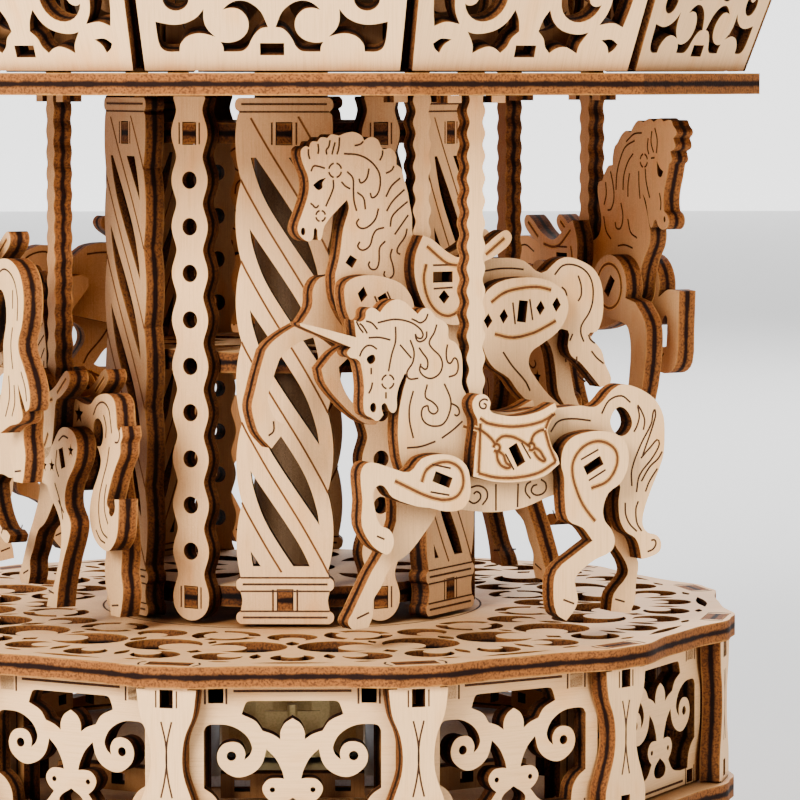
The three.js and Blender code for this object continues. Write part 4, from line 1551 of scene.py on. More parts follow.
UNICORN_TRUNK = Cut(
    "trunk", Layer.TRUNK,
    smooth([
        (11.8, 26.2), (12.3, 28.8), (12.4, 31), (12.2, 33.6), (11.6, 36.3), (11, 38.2), (11.3, 38.7, CUSP),
        (12.2, 37), (12.6, 35.4), (12.6, 34), (13.1, 33.3), (13.8, 33.7), (14.4, 34.7), (15, 34.3),
        (14.7, 33.1, CUSP), (15.6, 32.3), (16.6, 32.8), (17.5, 33.3), (17.8, 34.6), (17.7, 37), (18.2, 40.2),
        (18.9, 40.9), (19.8, 41.1), (20.3, 41.8), (19.7, 42.5, CUSP), (27.4, 45.6), (27.5, 46),
        (18.9, 43.8, CUSP), (19.2, 46.2, CUSP), (18.3, 45.9), (17.5, 46.4), (17.3, 47.4), (16.4, 47.8),
        (15.2, 47.1, CUSP), (14.2, 48.2), (12.8, 48.8), (11.3, 48.4), (10, 47.3), (9.3, 46.7, CUSP),
        (8.5, 47.4), (7.6, 47.4), (6.4, 46.2), (5.2, 45.6), (4.5, 44.8), (4.4, 43.2), (3.3, 42.6), (2.4, 41),
        (2.2, 38.6), (2.3, 36.8), (1.4, 35.2), (-0.6, 33.6), (-5, 32.6), (-10, 33), (-13.1, 32.9),
        (-16.8, 33.1), (-19.3, 32.8), (-20.7, 33.6), (-22.1, 35), (-23.8, 35.8), (-25.7, 35.5), (-28, 34.5),
        (-29.7, 33.2), (-30.9, 31), (-31.1, 28), (-30.9, 25.4), (-30, 23.1), (-28.6, 20.1), (-27.6, 17.4),
        (-27.5, 15.6), (-28.4, 14.5), (-29.8, 14.1), (-30.6, 13), (-30.3, 11.7), (-28.6, 11),
        (-27.3, 10.8, CUSP), (-26.9, 12.6), (-26.2, 13.9), (-24.6, 14.9), (-23.6, 16.8), (-23.4, 19.4),
        (-23.4, 22), (-20, 22), (-12.2, 20.6), (-7.7, 19.2), (-3.1, 18.8), (0.9, 19.2), (6, 20.4), (10.2, 23),
    ], steps=3),
    holes=(
        smooth([
            (-23.2, 32.6), (-22, 31), (-22.4, 29.4), (-23.7, 28.5), (-25, 29), (-25.6, 30.4), (-24.6, 32.2),
        ]),
        smooth([(17.3, 40.8), (16.8, 41.3), (16.1, 41.3), (16, 40.5), (16.8, 40.1)], steps=3),
        smooth([(16.8, 34.2), (16.4, 34.8), (15.9, 34.6), (15.9, 33.7), (16.4, 33.5)], steps=3),
    ),
    cuts=(
        [(18.9, 46), (18.4, 45.1), (17.8, 44.4)], [(18.4, 45.7), (17.9, 45.3), (17.2, 44.3)],
        [(17.4, 46), (16.5, 45.7), (15.6, 44.8)],
        [(15.6, 45.7), (13, 46.1), (10.7, 45.7), (9.2, 44.9), (8.5, 44), (8.7, 43.4), (9.4, 43.5), (9.7, 44)],
        [(7.9, 44.3), (8, 43.4), (8.9, 42.9), (9.5, 43.2), (9.7, 44)],
        [(10.3, 46.1), (9.6, 45.8), (8.9, 45.5), (8.1, 45.9), (7.7, 46.7)],
        [(17, 43.7), (15.3, 43.7), (13.6, 43.3)], [(12.8, 45.1), (12.8, 43.1), (13.4, 41.3), (13.9, 39)],
        [(18.4, 41.2), (18, 42), (17.3, 42.6), (16.5, 42.6), (15.7, 42.1)], [(12.1, 42.6), (10.3, 40.7)],
        [(10.5, 43.2), (9.9, 41.6), (10.1, 40.1), (11, 38.8), (10.7, 37.9), (9.2, 37.9)],
        [
            (6.3, 45.2), (6.7, 44.1), (7.5, 42.8), (7.1, 42), (5.8, 40.8), (5.4, 39.6), (5.9, 38.4),
            (7.2, 37.8), (8.4, 38.2), (9, 39), (8.8, 39.9),
        ],
        [(9.1, 42.1), (8.5, 41.3), (7.8, 40.4), (7.8, 39.3), (8.2, 39.1), (8.8, 39.5)],
        [
            (4.6, 42.4), (4.8, 41.2), (4.6, 40), (4.1, 39.8), (3.4, 40.5), (2.9, 39.5), (3.2, 38.3),
            (4.4, 37.9),
        ],
        [(7.8, 37), (8.1, 35.3), (6.9, 34.5), (6.1, 33.5), (6.7, 32.9), (7.5, 33.3), (7.7, 34.1)],
        [
            (7.7, 34.1), (8.5, 33.8), (8.7, 32.7), (8.1, 31.7), (6.7, 31.2), (5.2, 31.5), (4.2, 33.2),
            (4.1, 34.8), (5.1, 37),
        ],
        [(3.9, 34.2), (3, 33.7), (2.7, 32.9), (3.1, 32.5), (3.5, 32.7)],
        [(10, 36.2), (10.6, 34.1), (10.6, 32.1), (10, 29.7)], [(11, 28.4), (8.8, 28.5), (6.5, 29.1)],
        [(5.5, 29.5), (3.8, 30.5), (2.2, 31.7)], [(16.4, 37.6), (16.6, 36.8), (17, 36.1)],
        [(16.6, 39.6), (16.6, 38.7)], [(14.3, 36.2), (14.3, 35.3)], *dashed(14, 37.6, 0.95),
        [(-12.1, 29.6), (-13.3, 31), (-15.6, 31.3), (-18.7, 30.9)],
        [(-20.5, 31.8), (-21.7, 33.6), (-23.8, 34.2), (-25.3, 33.2)],
        [(-25.6, 21.3), (-25.6, 23.7), (-27.1, 27.2), (-28.8, 30), (-29.3, 32), (-29.5, 31), (-27.4, 25.6)],
        [(-27.1, 25.2), (-28.6, 26.6), (-30.1, 27.6), (-29.3, 25.5), (-26.9, 22.8), (-26.4, 20.4)],
        [(-26.5, 32.8), (-27.1, 32), (-27.7, 30.6), (-27.5, 29.2)],
        [(-26.5, 32.6), (-26.8, 31.2), (-26.4, 29.8), (-25.9, 29)],
        [(-27.2, 21.9), (-28.6, 23.9), (-30, 25), (-30.7, 26)], [(-27.9, 20.4), (-28.6, 21.9), (-29.9, 23.6)],
        [(-24.5, 19), (-24.6, 17.3), (-25.3, 15.9), (-26.5, 14.8)],
        [(-26.7, 19.1), (-26.3, 18), (-26.5, 16), (-27.3, 14.8)],
        [(-28.9, 13.4), (-29.5, 13.4), (-29.7, 12.8), (-29.2, 12.1), (-28.3, 11.8)],
        [(1.2, 20.6), (0.3, 20.2), (-0.6, 20.7), (-0.7, 21.4), (-0.1, 21.8), (0.4, 21.5)],
        [(1, 22.4), (-0.4, 22.6), (-1.6, 22), (-1.8, 20.9), (-1, 19.9)],
        [(-8.8, 20.4), (-8, 21.4), (-8.2, 22.4), (-8.9, 22.8)],
        [(-9.9, 22.3), (-9.2, 22.1), (-9, 21.3), (-10, 20.8), (-11.2, 21.3), (-11.3, 22.4), (-10.5, 23)],
        [(-3.2, 22.7), (-3.2, 19)], [(-6.8, 22.6), (-6.7, 19.3)],
    ),
)

UNICORN_FORE = Cut(
    "foreleg", Layer.NEAR,
    smooth([
        (12.3, 25.4), (10.4, 27.1), (7.8, 27.6), (5.2, 27.2), (3.3, 25.8), (2.7, 23.7), (2.8, 21.3),
        (4, 19.9), (6.5, 19.7), (9.1, 20.3), (11.4, 20.7), (15, 22.1), (16.2, 23.6), (17.2, 23.8),
        (17.9, 22.9), (17.7, 20.6), (16.9, 18.4), (15.5, 17.7), (14.8, 16.6), (14.9, 15.2), (15.7, 14.3),
        (16.8, 14.7), (18.2, 15.8), (19.7, 18.4), (19.6, 21.8), (19.9, 25.2), (19.4, 26.6), (18.2, 27),
        (15.2, 26.1),
    ], steps=3),
    holes=(rectangle(7.1, 24.1, 2.9, 1.5, 22),),
    cuts=([(9, 22.5), (6, 21.9)], [(8.8, 26.3), (5.8, 25.6)], [(16.2, 16.4), (17.4, 16.9)]),
    burns=(
        [
            (14.6, 24.3), (12.3, 23.2), (10.4, 22.3), (8.4, 21.6), (6.5, 21.3), (4.7, 21.8), (3.8, 23.5),
            (4.3, 25.4), (5.9, 26.4), (7.8, 26.4), (9.6, 25.6), (10.4, 23.9),
        ],
    ),
)

NEAR_HIND = Cut(
    "hindleg", Layer.NEAR,
    smooth([
        (-15.6, 29.5), (-18.2, 29.7), (-21, 29.1), (-22.8, 27.6), (-23.1, 24.8), (-21.9, 22.3), (-19.8, 20.9),
        (-18.9, 18.7), (-19.2, 17), (-20.3, 15.7), (-20.9, 14), (-20.2, 12.6), (-17.6, 11.6), (-14.8, 9.8),
        (-14.3, 8.6), (-14.8, 6.2), (-14.3, 4.8), (-12.9, 3.3, CUSP), (-11.3, 4.4), (-10.8, 7.6),
        (-11.3, 10.4), (-14.4, 12.6), (-17.2, 14.3, CUSP), (-15.6, 16.2), (-13.2, 17.4), (-12.6, 20.4),
        (-12.5, 23.4), (-12, 25.3), (-12.4, 27.6), (-13.7, 28.9),
    ], steps=3),
    holes=(rectangle(-17.3, 24.9, 3.1, 1.4, -27),),
    cuts=([(-15.2, 25.8), (-18.1, 27.1)], [(-16.5, 22.8), (-19.3, 24.2)], [(-14.2, 5.6), (-12.4, 6.3)]),
    burns=(
        [
            (-16.9, 21.7), (-19.6, 22.6), (-21.1, 24.7), (-21, 26.7), (-19.3, 28), (-17.2, 28.2),
            (-15.2, 27.3), (-14, 25.7), (-13.8, 24.1), (-14.3, 22.1), (-15.6, 19.4), (-17.6, 17),
        ],
    ),
)

BLANKET = Cut(
    "blanket", Layer.NEAR,
    smooth([
        (1.5, 31.8), (1.9, 28), (2.2, 24.3, CUSP), (-1.3, 23.4), (-5.1, 23.2), (-9.2, 23.8),
        (-11.7, 25.4, CUSP), (-11.3, 26.6), (-10.1, 28.3), (-9.8, 30.6), (-11.2, 33.2, CUSP),
        (-10.9, 33.9, CUSP), (-8.3, 32.8), (-4.6, 32.3), (-1.3, 32.8), (-0.4, 33.4), (-0.5, 34.4),
        (0.2, 35.4), (1.5, 35.5), (2.3, 34.6), (2.2, 33.4),
    ], steps=4),
    holes=(rectangle(-4.8, 26.95, 1.5, 3.1, -28),),
    cuts=(
        [(-0.1, 34.7), (0.5, 34.9), (1.2, 34.5), (1.1, 33.8), (0.4, 33.6), (0.2, 34.1), (0.6, 34.3)],
        [(-2.9, 27.2), (-4.3, 24.9)], [(-5.5, 28.6), (-7, 26.3)],
    ),
    burns=(
        [(1.1, 31.6), (1.2, 28.4), (1.4, 24.7)],
        [(1.4, 24.7), (-1.3, 24), (-4.7, 23.8), (-8.3, 24.3), (-11.1, 25.7)],
        [(-11.1, 25.7), (-10, 28), (-9.3, 30.2)],
        [(1.2, 32.3), (-0.2, 31.5), (-4.2, 30.9), (-8.3, 31.3), (-11, 32.4)],
        [(-9.4, 30.4), (-9.9, 31.5), (-10.6, 32.4)], [(2.1, 31), (1, 30.6), (-0.4, 29.6), (-1.3, 28.6)],
        [(-1.4, 28.9), (-2.4, 29.6), (-4, 29.5), (-5.6, 28.8), (-7, 27.9)],
        [(-7, 28.3), (-7.4, 29.5), (-8.3, 30.1), (-9.2, 30.3)],
        [(-1.5, 27.6), (-1.7, 26.4), (-2.4, 25.5), (-3.7, 25.3), (-3, 26), (-2.6, 27), (-1.8, 27.6)],
        [(-7.5, 27.3), (-8.2, 26.4), (-9.3, 25.9), (-9, 26.6), (-8.4, 27.4), (-7.6, 27.8)],
        circle(-1.5, 28.1, 0.5, 10), circle(-7.1, 28, 0.5, 10),
    ),
)

FAR_FORE = Cut(
    "foreleg", Layer.FAR,
    smooth([
        (3, 24), (4.4, 19), (6.8, 15.8), (9.2, 13.3), (11.8, 11.8), (13.4, 9), (14.7, 7.1), (14.7, 5.2),
        (15.4, 3.5, CUSP), (17.9, 3.4, CUSP), (18.6, 4.4), (17.9, 5.7), (16.6, 8.1), (14.8, 11.3),
        (13.4, 13.3), (11, 18), (11.5, 24, CUSP), (7, 26),
    ], steps=3),
    cuts=([(15.3, 5.6), (17.2, 4.9)],),
)

FAR_HIND = Cut(
    "hindleg", Layer.FAR,
    smooth([
        (-17.8, 28), (-20, 24), (-23.1, 20.2), (-24, 16.5), (-24.5, 13.1), (-26.5, 10.2), (-26.9, 8.3),
        (-24.6, 5.7), (-24.1, 3.2, CUSP), (-27.3, 2.7, CUSP), (-28.1, 4.4), (-28.3, 7), (-28.7, 9.9),
        (-27.3, 12.9), (-26.4, 17), (-25.3, 21), (-22.5, 28, CUSP),
    ], steps=3),
    cuts=([(-24.8, 4.9), (-26.4, 4.4)],),
)

CHARGER_HEAD: Loop = [
    (14, 31.4), (13.7, 32.6), (13.2, 34.6), (12.7, 38), (11.8, 40.8), (12.1, 42, CUSP), (14.2, 40.1),
    (15.7, 38.4), (16.2, 36.6), (16.7, 36.5), (17.1, 38.2), (17.5, 36.7), (18.3, 36.3), (19.6, 37.2),
    (19.9, 38.3), (19.1, 40.4), (18.2, 43), (18.2, 45.1), (19.1, 47.2), (19.4, 48.8), (18.7, 49.5),
    (18.1, 49.3, CUSP), (17.7, 50.1), (16.8, 50.1, CUSP), (16.2, 50.7), (15.2, 50.6, CUSP), (14.6, 51.1),
    (13.4, 50.9, CUSP), (12.2, 51.3), (11, 51.4), (9.8, 50.9), (9.4, 50.2, CUSP), (8.4, 50.7), (7.2, 50.3),
    (6.4, 49), (5.2, 49.1), (4.3, 48.2), (4.2, 46.8, CUSP), (3.4, 46.2), (3, 44.8), (2.4, 43), (2.1, 41.4),
    (1.7, 39.4), (1.6, 37), (0.6, 35),
]
CHARGER_BELLY: Loop = [(-5, 19.5), (1.5, 19.7), (7, 21), (11.5, 24.4), (13.6, 28)]
CHARGER_HEAD_HOLES: tuple[Loop, ...] = (
    smooth([
        (17.5, 44.1, CUSP), (16.5, 44.8), (15.4, 45.1, CUSP), (16, 44.4), (16, 43.7), (16.7, 43.4),
    ], steps=3),
    smooth([(19.4, 37.7), (19.2, 38.2), (18.8, 38.1), (18.8, 37.3), (19.2, 37.2)], steps=3),
)
CHARGER_HEAD_CUTS: tuple[Loop, ...] = (
    [(18.2, 49.1), (18.2, 48.4), (18, 47.7)], [(16.7, 49.8), (16.6, 49), (16.7, 48.4)],
    [(14.8, 50.3), (15, 49.4), (15.4, 48.9), (15.3, 48.3)], [(14, 50), (14.3, 49), (14.5, 48.3)],
    [(13.3, 50.7), (13.4, 49.3), (13.7, 48.3)], [(10.9, 49.5), (10, 49.7), (9.5, 50.1)],
    [(6.4, 48.8), (6.5, 48.1), (6.9, 47.4)],
    [
        (12.6, 48.4), (10.3, 48.2), (8.5, 47.4), (7.1, 45.9), (6.8, 44.3), (7.2, 42.8), (8.1, 42.2),
        (8.4, 42.9),
    ],
    [(8.6, 46.3), (9, 44.9), (9.9, 44.3), (10.2, 44.9)],
    [(17.8, 46), (17.4, 46.7), (16.7, 46.7), (15.6, 46.4)], *dashed(14, 46.1, 1), *dashed(16.3, 39.8, 0.75),
    [(14.3, 44.8), (14.3, 43.6), (15.5, 41.1)], [(13, 44.5), (12.4, 43.9), (11.6, 43.5)],
    [(12.1, 45.9), (11.2, 45), (11.1, 43.2), (11, 41.8), (10.6, 40.4)],
    [(10.5, 43), (9.5, 42.2), (9.2, 40.6)],
    [(17.9, 41.6), (17.5, 41.3), (17.2, 41), (16.9, 41), (16.6, 41.3)], [(4.6, 46.6), (5, 46), (5.9, 45.6)],
    [(3.6, 44.9), (5, 43.8), (5.9, 42.3)], [(2.9, 43.3), (4.8, 41.7), (5.8, 40.3)],
    [(2.4, 41.6), (4.4, 40.1), (5, 39.3), (5.2, 38.1)], [(2.3, 39.7), (3.2, 38.6), (4.5, 37)],
    [(7.1, 40.7), (7.6, 39.2), (8.9, 38.1), (10, 38), (10.6, 38.7), (10.2, 39.3)],
    [(6.2, 38), (7.4, 37.7), (8, 36.9), (8.5, 35.5), (9.6, 34.9), (10.4, 35.4), (10.1, 36.1)],
    [(6, 36.1), (6.9, 35.2), (7, 33.4), (7.4, 32.3), (8.2, 32.2), (8.7, 32.8), (8.5, 33.3)],
    [(4.9, 35), (5.2, 34), (4.8, 32.7), (4.7, 31.4), (5.5, 30.8), (6.2, 31.3), (6.1, 31.9)],
    [(2.5, 37.8), (2.8, 36.7), (3.9, 35.3), (4.1, 34.5), (3.6, 34.2)],
)
DIAMOND_TRUNK = Cut(
    "trunk", Layer.TRUNK,
    smooth(
        CHARGER_HEAD + [
            (-2, 33.4), (-6, 32.7), (-10.4, 33.2), (-14.3, 33.3), (-16.8, 32.8), (-19.7, 31), (-22.3, 32.7),
            (-24, 33.2), (-26.4, 32.6), (-28.5, 31.4), (-29.8, 29.4), (-30.2, 26.6), (-30, 24.2),
            (-29.1, 22.3), (-27.8, 22), (-29.9, 19.6), (-30.6, 17.5), (-31.6, 15.5), (-31.4, 14.6, CUSP),
            (-29.8, 14.2, CUSP), (-27.9, 16.3), (-26.2, 18), (-24.8, 18.9), (-24.2, 20.4), (-24.2, 22.6),
            (-21, 22.5), (-12, 20.6),
        ] + CHARGER_BELLY,
        steps=3,
    ),
    holes=(*CHARGER_HEAD_HOLES, [(11.6, 34.3), (10.5, 33.6), (11.3, 32.4), (12.4, 33.2)]),
    cuts=(
        *CHARGER_HEAD_CUTS, [(-10.1, 31.5), (-12.5, 31.8), (-14.8, 31.8), (-16.7, 31.6)],
        [
            (-21.9, 30.7), (-23.3, 32), (-25.4, 32), (-27.3, 31), (-28.3, 29.3), (-28.4, 26.9), (-27.8, 25.1),
            (-26.5, 23.3), (-26.4, 22.1), (-26.9, 20.9),
        ],
        [(-25.9, 30.5), (-26.4, 29), (-26.4, 27.6), (-25.9, 26.8)],
        [(-23.1, 28.9), (-23.7, 28.4), (-24, 27.6)], [(-28.2, 19.5), (-29.1, 18.5), (-30.3, 17.6)],
        [(-27.7, 21.9), (-28, 21.2), (-28.8, 20.6)], [(-27.6, 16.2), (-28.1, 15.5), (-29.1, 14.8)],
        [(-25.7, 18.8), (-25.7, 17.8)], [(-25, 22.1), (-24.5, 21.1)],
    ),
)

STAR_TRUNK = Cut(
    "trunk", Layer.TRUNK,
    smooth(
        CHARGER_HEAD + [
            (-2, 33.4), (-5, 33), (-7.9, 33.1), (-10.8, 32.6), (-13.3, 32.6), (-14.9, 33.6), (-17, 34.3),
            (-19.8, 34.4), (-21.4, 33.5), (-21.9, 31.6), (-22.1, 30), (-22.8, 29.3, CUSP),
            (-23.5, 30.2, CUSP), (-23.9, 28.8), (-23.2, 27.8), (-23.1, 26.3), (-21.7, 24.5), (-20.4, 22.7),
            (-19.4, 20.9), (-18.6, 18.9), (-19.4, 18.2, CUSP), (-19.4, 17.5), (-20.3, 17.2), (-21.3, 18.2),
            (-21.2, 19.7, CUSP), (-22.6, 19.8, CUSP), (-22.4, 17.2), (-21.8, 14.4), (-20, 12.6),
            (-18.4, 12.1), (-16, 12.6), (-14.1, 13.8), (-13, 15.8), (-13, 18), (-13.9, 20.1), (-15.6, 22.4),
            (-16.8, 24.6), (-16.3, 26), (-15.5, 26.8, CUSP), (-16.9, 27), (-17.6, 28.4), (-17.3, 30),
            (-16, 30.8), (-14.7, 30.3), (-14.3, 28.6), (-13.8, 25.6), (-12.8, 22.6), (-10, 20.2),
        ] + CHARGER_BELLY,
        steps=3,
    ),
    holes=(*CHARGER_HEAD_HOLES, star(-9.5, 30.9, 1.5), star(10.9, 33.6, 1.1)),
    cuts=(
        *CHARGER_HEAD_CUTS,
        [(-14.4, 31.2), (-15.6, 32.6), (-17.6, 33.2), (-19.4, 32.4), (-20, 30.8), (-20.4, 29)],
        [(-17.8, 31.4), (-18.6, 29.8), (-18.4, 28.2)],
        [(-21.4, 27.8), (-22.4, 27.9), (-23, 28.8), (-22.8, 29.6)],
        [(-19.6, 27), (-18.8, 24.6), (-17.4, 22.2), (-16.2, 19.6), (-16, 17), (-17, 14.8), (-18.8, 14)],
        [(-18.6, 21.6), (-17.9, 19.6), (-18, 17.6), (-19, 16)], [(-15, 14.8), (-16.4, 13.6), (-18, 13.2)],
    ),
)

PLUMED_TRUNK = Cut(
    "trunk", Layer.TRUNK,
    smooth([
        (16.4, 29.5), (17.4, 31.6), (18.7, 33.4), (19.1, 35.2), (18.7, 37), (17.8, 39.4), (16.9, 41.4, CUSP),
        (17.8, 40.3), (18.4, 38.2), (18.9, 36.7), (19.4, 36.3), (20.1, 37.3), (20.7, 37.5), (21.3, 36.6),
        (22.4, 36.1), (23.6, 36.4), (24.1, 37.4), (23.7, 38.4), (22.8, 39), (22.7, 41.4), (23.6, 44.2),
        (24.1, 46, CUSP), (24.9, 46.6), (24.5, 47.9, CUSP), (25.8, 48.6), (25.3, 49.9, CUSP), (26.2, 50.8),
        (25.2, 51.8, CUSP), (24.6, 52.6), (22.6, 52.4, CUSP), (21.6, 52.9), (19.9, 52.3, CUSP), (18.6, 52.8),
        (17, 52.2, CUSP), (15.6, 52.5), (14.2, 51.6), (13.4, 50.6, CUSP), (12.2, 50.9), (10.8, 50.2),
        (9.7, 49, CUSP), (8.9, 48.4), (8.4, 47), (8.3, 45.6, CUSP), (7.1, 45.4), (5.9, 44), (5.4, 43.1, CUSP),
        (4.4, 42.8), (4.1, 41.4), (4.6, 39.4), (5.2, 37), (4.6, 34.8), (2.4, 33.6), (-2, 33), (-7, 32.8),
        (-11, 32.7), (-14.2, 33.2), (-16.6, 33.8), (-19.5, 33.7), (-22.3, 32.4), (-23.8, 30), (-23.9, 26.9),
        (-23.2, 24.6), (-22.1, 22.6), (-22.2, 21.2), (-23.6, 19.4), (-25.1, 17.4), (-25.9, 15.2),
        (-25.5, 13.5), (-24.5, 13, CUSP), (-23.2, 14.8), (-21.8, 16.7, CUSP), (-22.5, 14.3), (-23.4, 12.2),
        (-22, 11.2), (-19, 10.6), (-15.6, 9.3, CUSP), (-15.3, 12), (-16.2, 15.4), (-17.2, 18.8), (-17, 21.8),
        (-18.1, 25.1), (-17.9, 27.8), (-16.4, 29.5), (-14.6, 28.6), (-13.6, 25.4), (-12.6, 22.4), (-10, 20.4),
        (-5, 19.5), (1.5, 19.7), (7, 20.6), (12, 22.8), (15.4, 26),
    ], steps=3),
    holes=(
        smooth([
            (22.6, 44.9, CUSP), (21.8, 45.3), (20.8, 46.4, CUSP), (20.9, 45), (21.2, 44.2), (22, 44),
        ], steps=3),
        smooth([(23.3, 37.6), (23.1, 38.1), (22.8, 38), (22.8, 37.4), (23.1, 37.2)], steps=3),
    ),
    cuts=(
        [(20.2, 51.4), (20.9, 49.6), (20.7, 47.6)], [(19.4, 50.9), (19.2, 49.2), (19.9, 47.7)],
        [(18.4, 49.8), (18.2, 48.4), (18.6, 47.4)], [(16.6, 50.6), (14.4, 50.4), (12.2, 49.2)],
        [(14.6, 49.4), (12, 48.4), (10.6, 46.6), (9.6, 44.2), (9.4, 41.8)],
        [(14.2, 47.4), (12.8, 46.2), (11.6, 44), (11.4, 41.8)], [(13.2, 44.4), (12.8, 42.6), (12.8, 40.8)],
        *dashed(17.2, 46.4, 1), [(17.6, 45.2), (17.9, 43.2), (18.9, 40.8)], [(20.2, 46.9), (19.2, 46.8)],
        [(15.8, 44.8), (15.9, 42.6), (16.2, 40.6)],
        [(7.8, 44.6), (8.6, 42.4), (8.8, 40.4), (8, 38.8), (7, 38.6)], [(6.4, 42.9), (6.6, 41), (6, 39.4)],
        [(10.8, 39.8), (11.4, 37.8), (10.8, 36), (9.6, 35.9), (9.2, 36.8)],
        [(5.9, 37.6), (6.6, 35.4), (8, 34.2)], [(12.8, 37.4), (13.6, 35.4), (15.4, 34.6)],
        [(10, 33.2), (12, 33.4), (14.2, 33)], [(21.6, 41.6), (22, 40.2), (21.9, 39)],
        [(-14.8, 31.4), (-17.6, 32.4), (-20.6, 31.2), (-22, 28.4), (-21.8, 25.4)],
        [(-20.4, 29.6), (-20.3, 27)], [(-20.2, 24.4), (-19.6, 21.8), (-20.2, 18.6)],
        [(-23, 18.4), (-24.4, 16.2), (-24.8, 14.4)], [(-18.8, 17.6), (-19, 14.6), (-17.6, 11.8)],
        [(-20.6, 16.4), (-20.8, 14), (-19.8, 12)],
    ),
)

CHARGER_FORE = Cut(
    "foreleg", Layer.FAR,
    smooth([
        (12.9, 31.3), (14.8, 31), (15.9, 29.4), (16.1, 27), (17.5, 24.9, CUSP), (20.1, 23.7), (22.3, 22.3),
        (23.4, 21.1, CUSP), (24.3, 18.4), (25.1, 15.5), (25.6, 13.4), (25.2, 11.4), (24.4, 9.4),
        (22.5, 7.4, CUSP), (20.9, 9.2, CUSP), (20.6, 10.7, CUSP), (21.9, 11.4), (22.6, 12.6), (23.1, 14.5),
        (22.2, 17.4), (21.2, 19.9, CUSP), (19.6, 21.3), (17.2, 22.4), (14, 22.7), (10.4, 20.6), (6.6, 20.2),
        (3.6, 21.8), (3, 24.6), (4, 28.4), (6.8, 30.6), (10, 31.5),
    ], steps=3),
    cuts=([(22.2, 11.2), (22.2, 9.8), (23, 9.2)],),
)

HAUNCH_MARKS = [
    diamond(x, y, 1.45, 2.2, 4)
    for x, y in ((-9, 24.6), (-11.6, 25.2), (-17.7, 26.2), (-20.4, 26.6))
]
DIAMOND_HIND = Cut(
    "hindleg", Layer.NEAR,
    smooth([
        (-8.3, 28.2), (-10.7, 30), (-14.2, 30.6), (-17.7, 30.4), (-20, 29.6), (-21.8, 28.2), (-22.4, 26.4),
        (-22, 24.6), (-20.5, 22.6), (-17.7, 20.9), (-16.1, 19.8), (-15.8, 18), (-16.9, 16.2), (-19.2, 13.6),
        (-21.6, 11.6), (-22.6, 9.4), (-22.3, 6.2), (-23.4, 4.4), (-23.3, 3, CUSP), (-20.4, 3, CUSP),
        (-19.7, 5), (-19.8, 8.6), (-18.4, 10.8), (-16, 12.6), (-14, 14.4), (-12.4, 16.4), (-10.1, 17.8),
        (-8.8, 19.4), (-8, 21.6), (-7.4, 25),
    ], steps=3),
    holes=(rectangle(-14.7, 25.8, 1.5, 3.1, 7), *HAUNCH_MARKS),
    cuts=(
        [(-13.1, 27.1), (-13.5, 24)], [(-15.9, 27.5), (-16.4, 24.5)],
        [(-11.5, 20.1), (-13, 18.1), (-15.2, 15.8), (-16, 14.4)], [(-20.6, 4.6), (-22.6, 5)],
    ),
    burns=(
        [(-9.5, 27.2), (-11.6, 28.5), (-14.4, 29.1), (-17.2, 29.2), (-19.5, 28.7)],
        [(-10.1, 22.7), (-13, 22.1), (-16.3, 22.6), (-18.6, 23.5), (-20.3, 24.3)],
    ),
)

CHARGER_NEAR_FORE = Cut(
    "foreleg", Layer.NEAR,
    smooth([
        (14.2, 29.2), (13.8, 30.6), (12, 31.4), (9.5, 31.5), (6.7, 30.9), (4.6, 29.8), (3.2, 27.6), (3, 24.4),
        (4.6, 21.8), (7.6, 20.4), (11, 20.7), (13.2, 20.3), (15.1, 18.9, CUSP), (14.7, 16.8), (13.4, 14.4),
        (11.2, 12.5), (9.6, 12.4), (8.4, 11.8, CUSP), (9.3, 10.6), (11.7, 11.3), (15.1, 14.2), (17.2, 16.7),
        (17.8, 18.7, CUSP), (15.6, 21), (13.1, 22.3), (12.7, 24), (13.8, 26.6),
    ], steps=3),
    holes=(
        diamond(11.3, 28.9, 1.6, 2.3, 10), rectangle(7.6, 27.4, 3, 1.5, 62), diamond(5, 24.4, 1.5, 2.1, 40),
    ),
    cuts=([(9.4, 28.6), (8, 25.8)], [(7.4, 29.2), (6, 26.4)], [(10.6, 13), (11.6, 11.8)]),
)

STAR_HIND = Cut(
    "hindleg", Layer.NEAR,
    smooth([
        (-11, 29.3), (-13.5, 29), (-15, 27.9), (-15.2, 26.1), (-14.2, 24), (-11.9, 21.6), (-11, 19.6),
        (-11.2, 17.8), (-12.9, 15.8), (-12.4, 13.6), (-10.3, 10), (-8.6, 6), (-7.9, 3, CUSP),
        (-4.5, 2.8, CUSP), (-5.2, 4.3), (-6.8, 5.9), (-8.1, 8.3), (-9.4, 11.4), (-9.7, 14.8), (-8.3, 17),
        (-6.2, 18.8), (-4.7, 20.6), (-2.4, 21.3), (-1.3, 22.4), (-1.4, 23.9), (-2.8, 25.4), (-6.6, 26.3),
        (-8, 27.7), (-9.3, 28.8),
    ], steps=3),
    holes=(
        star(-3.9, 23.2, 1), star(-6.6, 23.4, 1), star(-13.1, 26.1, 1), rectangle(-10.1, 24.8, 1.5, 2.9, -18),
    ),
    cuts=(
        [(-8.4, 25.8), (-8, 23.6), (-9, 22)], [(-9, 27.2), (-10.6, 28), (-12.2, 27.8)],
        [(-10.6, 17), (-8.8, 18.6)], [(-7.6, 21), (-9.4, 18.4), (-10.3, 16)], [(-5.2, 5.2), (-7, 5)],
    ),
)

PLUMED_HIND = Cut(
    "hindleg", Layer.NEAR, STAR_HIND.outline, (rectangle(-10.1, 24.8, 1.5, 2.9, -18),), STAR_HIND.cuts,
    ([(-3, 22.6), (-2.8, 24), (-5, 24.8), (-7.2, 25.2)],),
)

